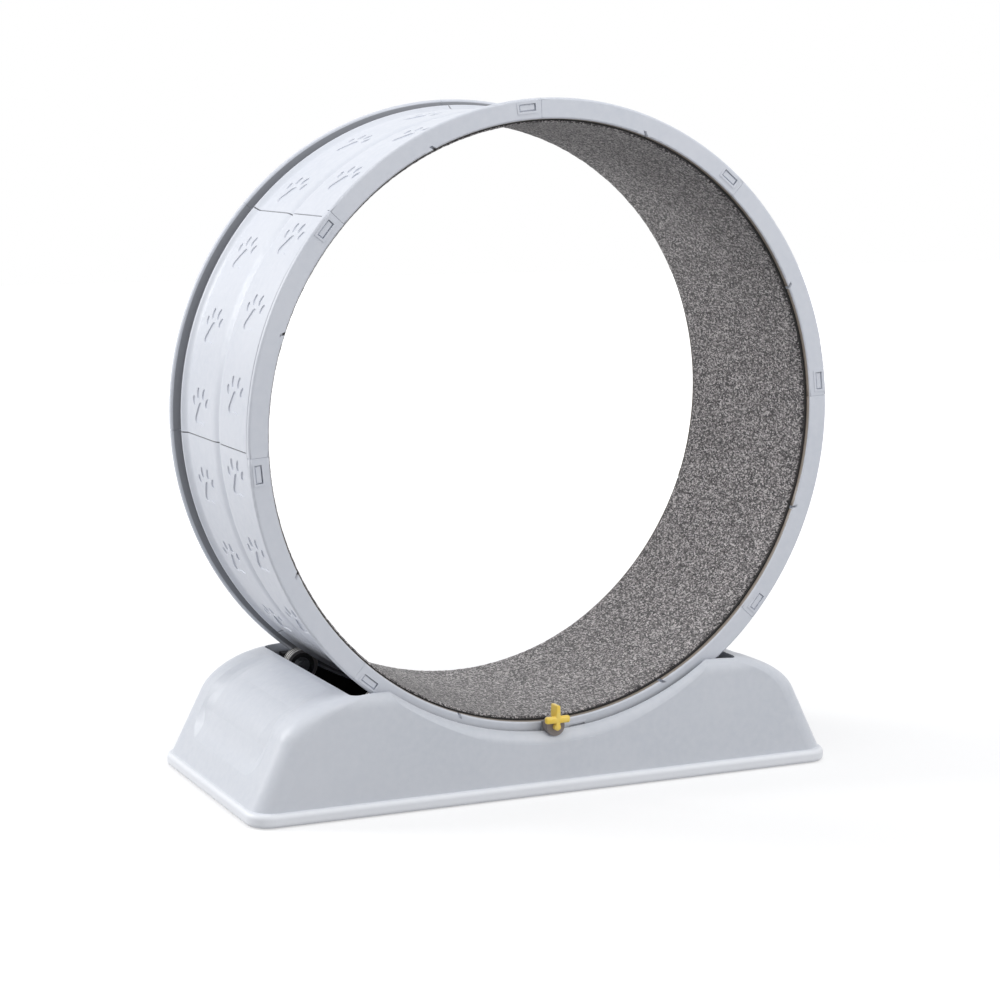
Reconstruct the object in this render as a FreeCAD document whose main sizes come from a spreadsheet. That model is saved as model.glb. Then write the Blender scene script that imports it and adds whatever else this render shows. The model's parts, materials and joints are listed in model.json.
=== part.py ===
import FreeCAD, Part
import math
import os

import Sketcher
from FreeCAD import Placement, Rotation, Vector

# Cat exercise wheel. The wheel turns about a line parallel to Y, over the middle of the base.
# +X runs along the base, -Y is the front, +Z is up, and the origin is on the floor under the middle.
# The parts of the wheel and of the rollers are drawn about their own Z axis and then stood up.

SIZES = [
    ("overall_height", 840, "floor to the top of the wheel"),
    ("base_length", 790, "foot bead, left to right"),
    ("base_depth", 340, "foot bead, front to back"),
    # wheel
    ("ring_radius", 388.5, "outside of the side flanges"),
    ("bore_radius", 363.5, "inside of the moulded segments"),
    ("shell_radius", 376, "outside of the panels and of the roller channels"),
    ("shell_wall", 3, "wall of the hollow segments"),
    ("flange_thick", 8, "side flange, front to back"),
    ("flange_round", 3, "rounding of the flange's outer edges"),
    ("bore_round", 2.5, "rounding of the flange's inner edge"),
    ("channel_width", 18, "roller channel between flange and ridge"),
    ("ridge_height", 5.3, "ridge above the channel floor"),
    ("ridge_width", 2.4, "flat top of the ridge"),
    ("ridge_slope", 10.5, "run of the ridge's slope down to the panel"),
    ("ridge_draft", 0.6, "lean of the ridge's channel side"),
    ("crease_width", 28, "soft groove between the two panels"),
    ("crease_depth", 3.6, "depth of that groove"),
    ("crease_floor", 1.5, "half width of the hollow's part that follows the groove"),
    ("segment_angle", 45, "one segment"),
    ("seam_gap_angle", 0.05, "gap at each seam"),
    ("first_seam_angle", 3, "first seam, counter-clockwise from +X seen from the front"),
    # clips and slots of the segments
    ("window_angle", 2.85, "middle of the clip window, past the seam"),
    ("window_span", 3.3, "clip window, along the rim, in degrees"),
    ("window_radius", 378.3, "middle of the clip window"),
    ("window_width", 8.8, "clip window, across the rim"),
    ("window_depth", 2.6, "front face to the tongue behind the window"),
    ("window_frame", 2.6, "raised frame around the window"),
    ("frame_height", 0.8, "how far the frame stands out"),
    ("tongue_thick", 3, "clip tongue, front to back"),
    ("tongue_span", 5, "how far the tongue reaches past the seam, in degrees"),
    ("clip_clearance", 0.2, "tongue to its slot"),
    ("slot_angle", 22.3, "small slot in the bore's edge, past the seam"),
    ("slot_depth", 6, "small slot, from the bore outwards"),
    ("slot_width", 4.4, "small slot, along the rim"),
    # running surface
    ("backing_thick", 1.8, "black backing of the mat"),
    ("backing_margin", 6.5, "wheel face to the edge of the backing"),
    ("pile_thick", 2.6, "carpet pile"),
    ("pile_margin", 6, "edge of the backing to the edge of the pile"),
    ("mat_gap_angle", 0.1, "butt joint of the mat"),
    # rollers
    ("roller_radius", 21.5, "outside of the tyre"),
    ("roller_width", 16, "tyre, front to back"),
    ("roller_angle", 33.7, "roller, away from straight under the wheel's axis"),
    ("roller_run_gap", 0.15, "tyre to the channel floor when the wheel is drawn"),
    ("hub_radius", 16.5, "outside of the hub, inside of the tyre"),
    ("tread_groove_depth", 1.6, "grooves in the tyre"),
    ("tread_groove_width", 2.2, "grooves in the tyre"),
    ("tread_groove_pitch", 5, "grooves in the tyre"),
    ("bearing_radius", 11, "outside of the ball bearings"),
    ("bearing_width", 7, "one ball bearing"),
    ("bearing_gap", 0.02, "free space at each face of a bearing"),
    ("hub_recess_radius", 12.5, "open front of the hub"),
    ("axle_radius", 4, "roller bolt"),
    ("axle_clearance", 0.05, "bolt to bearing"),
    ("hex_size", 6.5, "half the width of bolt head and nut across flats"),
    ("bolt_head_thick", 5.3, "bolt head"),
    ("bolt_setback", 0.4, "well's side to the bolt's head"),
    ("bolt_tail", 0.8, "end of the bolt past its nut"),
    ("nut_gap", 0.3, "bearing to the washer"),
    ("spacer_gap", 0.1, "spacer to the bearing"),
    ("tyre_round", 1, "bevel of the tyre's edges"),
    ("nut_thick", 4, "thin nut"),
    ("washer_radius", 6.9, "washers on the bolt"),
    ("washer_thick", 1, "washer under the nut"),
    # roller mounts
    ("mount_width", 40, "moulded pillar, left to right"),
    ("mount_depth", 13.2, "moulded pillar, front to back"),
    ("mount_rise", 14, "pillar top above the bolt"),
    ("mount_clearance", 1.5, "pillar to the wheel's flange"),
    ("screw_radius", 2, "pillar screws"),
    ("screw_head_radius", 4, "pillar screws"),
    ("screw_head_thick", 2.6, "pillar screws"),
    ("screw_length", 16, "pillar screws, under the head"),
    ("screw_spacing", 24, "two screws in each pillar"),
    # base shell
    ("base_height", 146, "top of the base's ends"),
    ("base_wall", 3, "wall of the base shell"),
    ("foot_height", 18, "top of the foot bead"),
    ("foot_step", 5, "bead stands out past the wall"),
    ("foot_round", 6.5, "rounding of the bead's upper edge"),
    ("foot_under_round", 5, "rounding of the bead's lower edge"),
    ("foot_gap", 1, "shell above the floor, on its rubber feet"),
    ("corner_radius", 28, "upright corners of the base and of its bead"),
    ("crest_corner_radius", 20, "corners of the flat top"),
    ("shoulder_height", 98, "where the ends start to round over"),
    ("end_lean", 0.49, "how far the ends lean in, per unit of height"),
    ("end_round", 84, "how far the ends round in, besides leaning"),
    ("side_lean", 0.04, "how far the front and back lean in, per unit of height"),
    ("side_round", 9, "how far the front and back round in at the top"),
    ("side_round_height", 17, "height of that rounding"),
    ("end_thick", 131, "each end of the base, from its bead to the well"),
    ("side_thick", 20, "front and back of the base, from the bead to the well"),
    ("wheel_gap", 6, "well's side to the wheel's face"),
    ("well_corner_radius", 12, "upright corners of the well"),
    ("well_floor", 51, "top of the well's floor"),
    ("lip_radius", 374, "scoop of the front and back lips, about the wheel's axis"),
    ("lip_round", 14, "rounding of the lips' outer edge"),
    ("lip_band", 10.5, "solid band under the scoop"),
    ("dish_depth", 4, "shallow recess in each end of the base"),
    ("dish_slope", 16, "run of the recess's sloping sides"),
    ("dish_half_width", 114, "recess, from the middle to its side"),
    ("dish_bottom", 46, "lower edge of the recess above the floor"),
    ("dish_reach", 6, "how far its tool stands out of the wall"),
    ("rib_thick", 3, "ribs under the well's floor"),
    ("rib_spacing", 330, "the two ribs, middle to middle"),
    ("foot_plate", 62, "corner plates for the rubber feet"),
    ("foot_pad_radius", 16, "rubber feet"),
    ("foot_pad_inset", 46, "rubber feet, from the base's sides"),
    # lock
    ("lock_height", 84.5, "lever's axis above the floor"),
    ("cradle_radius", 12, "half-round cradle in the lip"),
    ("cradle_clearance", 0.2, "cradle to its notch"),
    ("cradle_setback", 8, "front of the bead to the cradle's front face"),
    ("cradle_inset", 0.4, "cradle's back face past the well's side"),
    ("cradle_tab_depth", 9, "tab of the cradle in the lip's cavity"),
    ("cradle_tab_length", 10, "tab, left to right"),
    ("cradle_tab_width", 3, "tab, front to back"),
    ("cradle_tab_place", 5.6, "well's side to the middle of the tab"),
    ("lever_gap", 0.3, "lever to cradle"),
    ("lever_setback", 0.4, "front of the bead to the lever's front face"),
    ("lever_bar_length", 34, "cross bar"),
    ("lever_bar_height", 6.4, "cross bar"),
    ("lever_bar_rise", 9.5, "middle of the cross bar above the axis"),
    ("lever_blade_thick", 5, "upright blade"),
    ("lever_blade_rise", 28, "top of the blade above the axis"),
    ("lever_blade_drop", 3, "foot of the blade below the axis"),
    ("lever_blade_depth", 17, "upper part of the blade, front to back"),
    ("lever_round", 1.4, "rounding of the lever"),
    ("spindle_radius", 3.2, "spindle"),
    ("spindle_clearance", 0.05, "spindle to its bores"),
    ("carrier_width", 26, "plate behind the lip"),
    ("carrier_height", 22, "plate behind the lip"),
    ("carrier_thick", 1.9, "plate behind the lip"),
    ("carrier_gap", 0.3, "plate to cradle"),
    ("pad_thick", 2, "brake pad"),
    ("pad_margin", 1.5, "edge of the plate to the edge of the pad"),
    ("guide_radius", 1.3, "guide pins of the plate"),
    ("guide_spacing", 15, "guide pins of the plate"),
    ("guide_length", 6, "guide pins of the plate"),
    ("guide_drop", 3.5, "guide pins below the axis"),
]

doc = FreeCAD.newDocument("cat_exercise_wheel")
sizes = doc.addObject("Spreadsheet::Sheet", "sizes")
for row, (alias, number, note) in enumerate(SIZES, start=1):
    sizes.set(f"A{row}", note)
    sizes.set(f"B{row}", str(number))
    sizes.setAlias(f"B{row}", alias)
doc.recompute()

SUB_PARTS = []

# Lengths that several pieces share, as expressions of the sheet.
AXIS_Z = "(sizes.overall_height - sizes.ring_radius)"
WELL_SIDE = "(sizes.base_depth / 2 - sizes.side_thick)"
WELL_END = "(sizes.base_length / 2 - sizes.end_thick)"
HALF_WIDTH = f"({WELL_SIDE} - sizes.wheel_gap)"
FLANGE_IN = f"({HALF_WIDTH} - sizes.flange_thick)"
RIDGE_FOOT = f"({FLANGE_IN} - sizes.channel_width)"
RIDGE_TOP = f"({RIDGE_FOOT} - sizes.ridge_draft)"
RIDGE_END = f"({RIDGE_TOP} - sizes.ridge_width)"
RIDGE_RADIUS = "(sizes.shell_radius + sizes.ridge_height)"
ROLLER_REACH = "(sizes.shell_radius + sizes.roller_run_gap + sizes.roller_radius)"
ROLLER_X = f"({ROLLER_REACH} * sin(sizes.roller_angle))"
ROLLER_Z = f"({AXIS_Z} - {ROLLER_REACH} * cos(sizes.roller_angle))"
ROLLER_MIDDLE = f"({FLANGE_IN} - sizes.channel_width / 2)"
ROLLER_BACK = f"({WELL_SIDE} - {ROLLER_MIDDLE} - sizes.roller_width / 2)"
ROLLER_FRONT = f"({ROLLER_BACK} + sizes.roller_width)"


def value(expression):
    """The number that an expression of the sheet stands for."""
    return float(sizes.evalExpression(str(expression)))


def keep(obj, name):
    """Name an object as one of the sub-parts that are written out."""
    obj.Label = name
    SUB_PARTS.append(obj)
    return obj


def origin_of(body, role):
    return next(item for item in body.Origin.OriginFeatures if item.Role == role)


def new_sketch(body, name, plane, offset="0"):
    sketch = body.newObject("Sketcher::SketchObject", name)
    sketch.AttachmentSupport = [(origin_of(body, plane), "")]
    sketch.MapMode = "FlatFace"
    sketch.setExpression("AttachmentOffset.Base.z", offset)
    return sketch


def hold_point(sketch, curve, end, x, y):
    """Hold a curve's end at two coordinates, each given as an expression."""
    for kind, other_axis, expression in (("DistanceX", -2, x), ("DistanceY", -1, y)):
        number = value(expression)
        if abs(number) < 1e-9:
            sketch.addConstraint(Sketcher.Constraint("PointOnObject", curve, end, other_axis))
        else:
            index = sketch.addConstraint(Sketcher.Constraint(kind, -1, 1, curve, end, number))
            sketch.setExpression(f"Constraints[{index}]", expression)


def outline(sketch, points):
    """Add a closed outline of straight lines through points given as expressions."""
    first = sketch.GeometryCount
    places = [Vector(value(x), value(y), 0) for x, y in points]
    count = len(points)
    for i in range(count):
        sketch.addGeometry(Part.LineSegment(places[i], places[(i + 1) % count]))
    for i in range(count):
        after = first + (i + 1) % count
        sketch.addConstraint(Sketcher.Constraint("Coincident", first + i, 2, after, 1))
    for i, (x, y) in enumerate(points):
        hold_point(sketch, first + i, 1, x, y)
    return sketch


def rounded_rectangle(body, name, height, half_x, half_y, radius):
    """A rectangle with round corners about the origin, at a height."""
    sketch = new_sketch(body, name, "XY_Plane", height)
    hx, hy, r = value(half_x), value(half_y), value(radius)
    corners = [(hx - r, r - hy, 270), (hx - r, hy - r, 0), (r - hx, hy - r, 90), (r - hx, r - hy, 180)]
    lines = [
        ((r - hx, -hy), (hx - r, -hy)),
        ((hx, r - hy), (hx, hy - r)),
        ((hx - r, hy), (r - hx, hy)),
        ((-hx, hy - r), (-hx, r - hy)),
    ]
    for (start, end), (cx, cy, angle) in zip(lines, corners):
        sketch.addGeometry(Part.LineSegment(Vector(*start, 0), Vector(*end, 0)))
        circle = Part.Circle(Vector(cx, cy, 0), Vector(0, 0, 1), r)
        turn = math.radians(angle)
        sketch.addGeometry(Part.ArcOfCircle(circle, turn, turn + math.pi / 2))
    for i in range(8):
        sketch.addConstraint(Sketcher.Constraint("Tangent", i, 2, (i + 1) % 8, 1))
    for i in (0, 4):
        sketch.addConstraint(Sketcher.Constraint("Horizontal", i))
    for i in (2, 6):
        sketch.addConstraint(Sketcher.Constraint("Vertical", i))
    for i in (3, 5, 7):
        sketch.addConstraint(Sketcher.Constraint("Equal", 1, i))
    held = [
        (Sketcher.Constraint("Radius", 1, r), radius),
        (Sketcher.Constraint("DistanceX", -1, 1, 2, 1, hx), half_x),
        (Sketcher.Constraint("DistanceX", 6, 1, -1, 1, hx), half_x),
        (Sketcher.Constraint("DistanceY", -1, 1, 4, 1, hy), half_y),
        (Sketcher.Constraint("DistanceY", 0, 1, -1, 1, hy), half_y),
    ]
    for constraint, expression in held:
        index = sketch.addConstraint(constraint)
        sketch.setExpression(f"Constraints[{index}]", expression)
    return sketch


def new_body(name):
    return doc.addObject("PartDesign::Body", name)


def revolve(body, sketch, angle="360"):
    feature = body.newObject("PartDesign::Revolution", sketch.Name + "_turned")
    feature.Profile = sketch
    feature.ReferenceAxis = (origin_of(body, "Z_Axis"), [""])
    feature.setExpression("Angle", angle)
    return feature


def pad(body, sketch, length, down=False):
    feature = body.newObject("PartDesign::Pad", sketch.Name + "_pad")
    feature.Profile = sketch
    feature.Reversed = down
    feature.setExpression("Length", length)
    return feature


def pocket(body, sketch, length, up=False):
    feature = body.newObject("PartDesign::Pocket", sketch.Name + "_pocket")
    feature.Profile = sketch
    feature.Reversed = up
    feature.setExpression("Length", length)
    return feature


def round_edges(body, base, radius, wanted):
    """Round the edges of a feature for which the wanted test is true."""
    doc.recompute()
    names = [f"Edge{i}" for i, edge in enumerate(base.Shape.Edges, start=1) if wanted(edge)]
    feature = body.newObject("PartDesign::Fillet", base.Name + "_rounded")
    feature.Base = (base, names)
    feature.setExpression("Radius", radius)
    return feature


def place(obj, x="0", y="0", z="0", rotation=None):
    obj.Placement = Placement(Vector(0, 0, 0), rotation or Rotation())
    for axis, expression in zip("xyz", (x, y, z)):
        obj.setExpression(f"Placement.Base.{axis}", str(expression))
    return obj


def box(name, length, width, height, x, y, z):
    """A block of a length, width and height, centred on x and y and standing on z."""
    obj = doc.addObject("Part::Box", name)
    for key, expression in (("Length", length), ("Width", width), ("Height", height)):
        obj.setExpression(key, expression)
    return place(obj, f"{x} - ({length}) / 2", f"{y} - ({width}) / 2", z)


def cylinder(name, radius, height, x="0", y="0", z="0", rotation=None, angle="360"):
    obj = doc.addObject("Part::Cylinder", name)
    obj.setExpression("Radius", radius)
    obj.setExpression("Height", height)
    obj.setExpression("Angle", angle)
    return place(obj, x, y, z, rotation)


def boolean(kind, name, base, tools):
    obj = doc.addObject(kind, name)
    if kind == "Part::MultiFuse":
        obj.Shapes = [base] + tools
    else:
        obj.Base = base
        obj.Tool = tools[0] if len(tools) == 1 else fuse(name + "_tools", *tools)
    return obj


def cut(name, base, *tools):
    return boolean("Part::Cut", name, base, list(tools))


def fuse(name, base, *tools):
    return boolean("Part::MultiFuse", name, base, list(tools))


def group(name, pieces):
    obj = doc.addObject("Part::Compound", name)
    obj.Links = pieces
    return obj


TO_FRONT = Rotation(Vector(1, 0, 0), 90)
TO_BACK = Rotation(Vector(1, 0, 0), -90)


# --- wheel ---------------------------------------------------------------------------------------

def polar(radius, angle):
    return f"({radius}) * cos({angle})", f"({radius}) * sin({angle})"


def rim_patch(body, name, height, inner, outer, start, end):
    """A four-cornered patch of the rim between two radii and two angles."""
    sketch = new_sketch(body, name, "XY_Plane", height)
    corners = [polar(inner, start), polar(outer, start), polar(outer, end), polar(inner, end)]
    return outline(sketch, corners)


# Soft slope of the ridge: share of its run down to the panel, share of its height.
RIDGE_SHAPE = [(0, 1), (0.095, 0.87), (0.333, 0.53), (0.667, 0.11), (1, 0)]
# Soft groove between the panels: share of its half width, share of its depth.
CREASE_SHAPE = [(1, 0), (0.66, 0.12), (0.33, 0.45), (0.05, 1)]


def segment_section(body):
    """Half of the section, front of the wheel upwards, is mirrored to make the whole of it."""
    front_half = [
        ("sizes.bore_radius", HALF_WIDTH),
        ("sizes.ring_radius", HALF_WIDTH),
        ("sizes.ring_radius", FLANGE_IN),
        ("sizes.shell_radius", FLANGE_IN),
        ("sizes.shell_radius", RIDGE_FOOT),
        (RIDGE_RADIUS, RIDGE_TOP),
    ]
    for along, rise in RIDGE_SHAPE:
        front_half.append((f"(sizes.shell_radius + sizes.ridge_height * {rise})",
                           f"({RIDGE_END} - sizes.ridge_slope * {along})"))
    for along, drop in CREASE_SHAPE:
        front_half.append((f"(sizes.shell_radius - sizes.crease_depth * {drop})",
                           f"(sizes.crease_width / 2 * {along})"))
    back_half = [(radius, f"-({height})") for radius, height in reversed(front_half)]
    sketch = new_sketch(body, "section", "XZ_Plane")
    outline(sketch, front_half + back_half)
    hollow_in = "(sizes.bore_radius + sizes.shell_wall)"
    hollow_out = "(sizes.shell_radius - sizes.shell_wall)"
    hollow_side = f"({FLANGE_IN} - sizes.shell_wall)"
    valley = f"({hollow_out} - sizes.crease_depth)"
    outline(sketch, [
        (hollow_in, f"-{hollow_side}"),
        (hollow_out, f"-{hollow_side}"),
        (hollow_out, "-sizes.crease_width / 2"),
        (valley, "-sizes.crease_floor"),
        (valley, "sizes.crease_floor"),
        (hollow_out, "sizes.crease_width / 2"),
        (hollow_out, hollow_side),
        (hollow_in, hollow_side),
    ])
    return sketch


def on_circle(edge, radius, height):
    curve = edge.Curve
    return isinstance(curve, Part.Circle) and math.isclose(curve.Radius, radius, abs_tol=1e-3) and \
        math.isclose(abs(curve.Center.z), height, abs_tol=1e-3)


def make_segment(number):
    body = new_body(f"segment_{number}")
    span = "(sizes.segment_angle - sizes.seam_gap_angle)"
    turned = revolve(body, segment_section(body), span)
    outer, bore, half = value("sizes.ring_radius"), value("sizes.bore_radius"), value(HALF_WIDTH)
    flange_in = value(FLANGE_IN)
    soft = round_edges(body, turned, "sizes.flange_round",
                       lambda e: on_circle(e, outer, half) or on_circle(e, outer, flange_in))
    round_edges(body, soft, "sizes.bore_round", lambda e: on_circle(e, bore, half))

    inner = "(sizes.window_radius - sizes.window_width / 2)"
    outer = "(sizes.window_radius + sizes.window_width / 2)"
    start = "(sizes.window_angle - sizes.window_span / 2)"
    end = "(sizes.window_angle + sizes.window_span / 2)"
    edge = "(sizes.window_frame / sizes.window_radius * 57.296)"
    tongue_top = f"({HALF_WIDTH} - sizes.window_depth)"
    slot_top = f"({tongue_top} + sizes.clip_clearance)"
    slot_floor = "(sizes.tongue_thick + 2 * sizes.clip_clearance)"
    details = []
    frame = rim_patch(body, "window_frame", HALF_WIDTH, f"{inner} - sizes.window_frame",
                      f"{outer} + sizes.window_frame", f"{start} - {edge}", f"{end} + {edge}")
    details.append(pad(body, frame, "sizes.frame_height"))
    hole = rim_patch(body, "window", f"{HALF_WIDTH} + sizes.frame_height", inner, outer, start, end)
    details.append(pocket(body, hole, "sizes.window_depth + sizes.frame_height"))
    slot = rim_patch(body, "tongue_slot", slot_top, f"{inner} - sizes.clip_clearance",
                     f"{outer} + sizes.clip_clearance", "-1", "sizes.tongue_span + 0.3")
    details.append(pocket(body, slot, slot_floor))
    joint = f"({span} - 1)"
    reach = "(sizes.segment_angle + sizes.tongue_span)"
    tongue = rim_patch(body, "tongue", tongue_top, inner, outer, joint, reach)
    details.append(pad(body, tongue, "sizes.tongue_thick", down=True))
    half_slot = "(sizes.slot_width / sizes.bore_radius * 28.648)"
    lean = "(1.2 * sizes.slot_width / sizes.bore_radius * 57.296)"
    notch = new_sketch(body, "bore_slot", "XY_Plane", HALF_WIDTH)
    deep = "(sizes.bore_radius + sizes.slot_depth)"
    outline(notch, [
        polar("(sizes.bore_radius - 1)", f"sizes.slot_angle - {half_slot}"),
        polar(deep, f"sizes.slot_angle - {half_slot} + {lean}"),
        polar(deep, f"sizes.slot_angle + {half_slot} + {lean}"),
        polar("(sizes.bore_radius - 1)", f"sizes.slot_angle + {half_slot}"),
    ])
    details.append(pocket(body, notch, "sizes.flange_thick"))
    back = body.newObject("PartDesign::Mirrored", "back_details")
    back.Originals = details
    back.MirrorPlane = (origin_of(body, "XY_Plane"), [""])
    body.Tip = back
    turn = value(f"sizes.first_seam_angle + {number - 1} * sizes.segment_angle")
    place(body, z=AXIS_Z, rotation=TO_FRONT * Rotation(Vector(0, 0, 1), turn))
    return keep(body, f"segment_{number}")


def make_layer(name, outer, thick, half_width):
    """A layer of the mat: a ring with a butt joint, lying in the wheel's bore."""
    turn = TO_FRONT * Rotation(Vector(0, 0, 1), 30)
    angle = "360 - sizes.mat_gap_angle"
    where = dict(y=half_width, z=AXIS_Z, rotation=turn)
    solid = cylinder(f"{name}_outside", outer, f"2 * {half_width}", angle=angle, **where)
    hole = cylinder(f"{name}_inside", f"{outer} - {thick}", f"2 * {half_width}", **where)
    return keep(cut(name, solid, hole), name)


def make_mat():
    backing_half = f"({HALF_WIDTH} - sizes.backing_margin)"
    make_layer("mat_backing", "sizes.bore_radius", "sizes.backing_thick", backing_half)
    make_layer("running_mat", "(sizes.bore_radius - sizes.backing_thick)", "sizes.pile_thick",
               f"({backing_half} - sizes.pile_margin)")


# --- rollers: drawn from the well's side wall, at 0, towards the wheel's middle plane --------------

def lathe(name, points):
    body = new_body(name)
    revolve(body, outline(new_sketch(body, name + "_section", "XZ_Plane"), points))
    return body


def make_tyre(name):
    groove_in = "(sizes.roller_radius - sizes.tread_groove_depth)"
    middle = f"({ROLLER_BACK} + sizes.roller_width / 2)"
    bevel_in = "(sizes.roller_radius - sizes.tyre_round)"
    points = [("sizes.hub_radius", ROLLER_BACK), (bevel_in, ROLLER_BACK),
              ("sizes.roller_radius", f"{ROLLER_BACK} + sizes.tyre_round")]
    for step in (-1, 0, 1):
        low = f"({middle} + {step} * sizes.tread_groove_pitch - sizes.tread_groove_width / 2)"
        high = f"({low} + sizes.tread_groove_width)"
        points += [("sizes.roller_radius", low), (groove_in, low), (groove_in, high),
                   ("sizes.roller_radius", high)]
    points += [("sizes.roller_radius", f"{ROLLER_FRONT} - sizes.tyre_round"), (bevel_in, ROLLER_FRONT),
               ("sizes.hub_radius", ROLLER_FRONT)]
    return lathe(name, points)


def make_hub(name):
    recess = f"({ROLLER_BACK} + 2 * sizes.bearing_width)"
    return lathe(name, [
        ("sizes.bearing_radius", ROLLER_BACK),
        ("sizes.hub_radius", ROLLER_BACK),
        ("sizes.hub_radius", ROLLER_FRONT),
        ("sizes.hub_recess_radius", ROLLER_FRONT),
        ("sizes.hub_recess_radius", recess),
        ("sizes.bearing_radius", recess),
    ])


def make_bearings(name):
    bore = "(sizes.axle_radius + sizes.axle_clearance)"
    rings = []
    for index in (0, 1):
        low = f"({ROLLER_BACK} + {index} * sizes.bearing_width + sizes.bearing_gap)"
        high = f"({low} + sizes.bearing_width - 2 * sizes.bearing_gap)"
        rings.append(lathe(f"{name}_{index + 1}", [
            (bore, low), ("sizes.bearing_radius", low), ("sizes.bearing_radius", high), (bore, high),
        ]))
    return group(name, rings)


def hexagon(name, height, z):
    obj = doc.addObject("Part::Prism", name)
    obj.Polygon = 6
    obj.setExpression("Circumradius", "sizes.hex_size / cos(30)")
    obj.setExpression("Height", height)
    return place(obj, z=z)


NUT_START = f"({ROLLER_BACK} + 2 * sizes.bearing_width + sizes.nut_gap)"
AXLE_END = f"({NUT_START} + sizes.washer_thick + sizes.nut_thick + sizes.bolt_tail)"


def make_axle(name):
    setback = "sizes.bolt_setback"
    shank = cylinder(name + "_shank", "sizes.axle_radius", f"{AXLE_END} - {setback}", z=setback)
    head = hexagon(name + "_head", "sizes.bolt_head_thick", setback)
    collar_start = "sizes.mount_depth"
    collar = cylinder(name + "_spacer", "sizes.washer_radius",
                      f"{ROLLER_BACK} - sizes.spacer_gap - {collar_start}", z=collar_start)
    return fuse(name, shank, head, collar)


def make_nut(name):
    washer = cylinder(name + "_washer", "sizes.washer_radius", "sizes.washer_thick", z=NUT_START)
    nut = hexagon(name + "_nut", "sizes.nut_thick", f"{NUT_START} + sizes.washer_thick")
    bore = cylinder(name + "_bore", "sizes.axle_radius", f"{AXLE_END}")
    return cut(name, fuse(name + "_blank", washer, nut), bore)


def make_mount(name, side_x, side_y):
    """A pillar on the well's floor, hollowed along the wheel's flange, with the bolt's hole."""
    x = f"{side_x} * {ROLLER_X}"
    top = f"({ROLLER_Z} + sizes.mount_rise)"
    wall = f"{side_y} * {WELL_SIDE}"
    middle = f"{side_y} * ({WELL_SIDE} - sizes.mount_depth / 2)"
    pillar = box(name + "_block", "sizes.mount_width", "sizes.mount_depth", f"{top} - sizes.well_floor",
                 x, middle, "sizes.well_floor")
    turn = TO_FRONT if side_y > 0 else TO_BACK
    swept = cylinder(name + "_swept", "sizes.ring_radius + sizes.mount_clearance",
                     "2 * sizes.mount_depth", y=f"{wall} * 1.02", z=AXIS_Z, rotation=turn)
    bore = cylinder(name + "_bore", "sizes.axle_radius", "sizes.mount_depth", x, wall, ROLLER_Z, turn)
    seat = doc.addObject("Part::Prism", name + "_seat")
    seat.Polygon = 6
    seat.setExpression("Circumradius", "sizes.hex_size / cos(30) + 0.2")
    seat.setExpression("Height", "sizes.bolt_head_thick + sizes.bolt_setback")
    place(seat, x, wall, ROLLER_Z, turn)
    tools = [swept, bore, seat]
    for index, (screw_x, screw_y) in enumerate(screw_places(side_x, side_y)):
        tools.append(cylinder(f"{name}_pilot_{index}", "sizes.screw_radius", "sizes.screw_length",
                              screw_x, screw_y, "sizes.well_floor - sizes.base_wall"))
    return keep(cut(name, pillar, *tools), name)


def screw_places(side_x, side_y):
    y = f"{side_y} * ({WELL_SIDE} - sizes.mount_depth / 2)"
    return [(f"{side_x} * {ROLLER_X} + {step} * sizes.screw_spacing / 2", y) for step in (-1, 1)]


CRADLE_FRONT = "(sizes.base_depth / 2 - sizes.cradle_setback)"
CRADLE_BACK = f"({WELL_SIDE} - sizes.cradle_inset)"
LEVER_FRONT = "(sizes.base_depth / 2 - sizes.lever_setback)"
CORNERS = {"front_left": (-1, -1), "front_right": (1, -1), "back_left": (-1, 1), "back_right": (1, 1)}


def make_rollers():
    screws = []
    for corner, (side_x, side_y) in CORNERS.items():
        make_mount(f"roller_mount_{corner}", side_x, side_y)
        for piece, maker in (("tyre", make_tyre), ("hub", make_hub), ("bearings", make_bearings),
                             ("axle", make_axle), ("nut", make_nut)):
            name = f"roller_{piece}_{corner}"
            obj = maker(name)
            turn = TO_FRONT if side_y > 0 else TO_BACK
            place(obj, f"{side_x} * {ROLLER_X}", f"{side_y} * {WELL_SIDE}", ROLLER_Z, turn)
            keep(obj, name)
        for index, (x, y) in enumerate(screw_places(side_x, side_y)):
            under_floor = "(sizes.well_floor - sizes.base_wall)"
            name = f"screw_{corner}_{index}"
            shank = cylinder(name + "_shank", "sizes.screw_radius", "sizes.screw_length", x, y,
                             under_floor)
            head = cylinder(name + "_head", "sizes.screw_head_radius", "sizes.screw_head_thick", x, y,
                            f"{under_floor} - sizes.screw_head_thick")
            screws.append(fuse(name, shank, head))
    keep(group("mount_screws", screws), "mount_screws")


# --- base ----------------------------------------------------------------------------------------

ROUNDING_STEPS = 6


def end_level(turn):
    """Height and half length of the ends where their rounding has turned by an angle in degrees."""
    up, along = math.sin(math.radians(turn)), math.cos(math.radians(turn))
    z = f"(sizes.shoulder_height + (sizes.base_height - sizes.shoulder_height) * {up:.4f})"
    return z, f"({lower_half_length(z)} - sizes.end_round * {1 - along:.4f})"


def lower_half_length(z):
    return f"(sizes.base_length / 2 - sizes.foot_step - sizes.end_lean * ({z} - sizes.foot_height))"


def half_depth(z):
    return f"(sizes.base_depth / 2 - sizes.foot_step - sizes.side_lean * ({z} - sizes.foot_height))"


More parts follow.
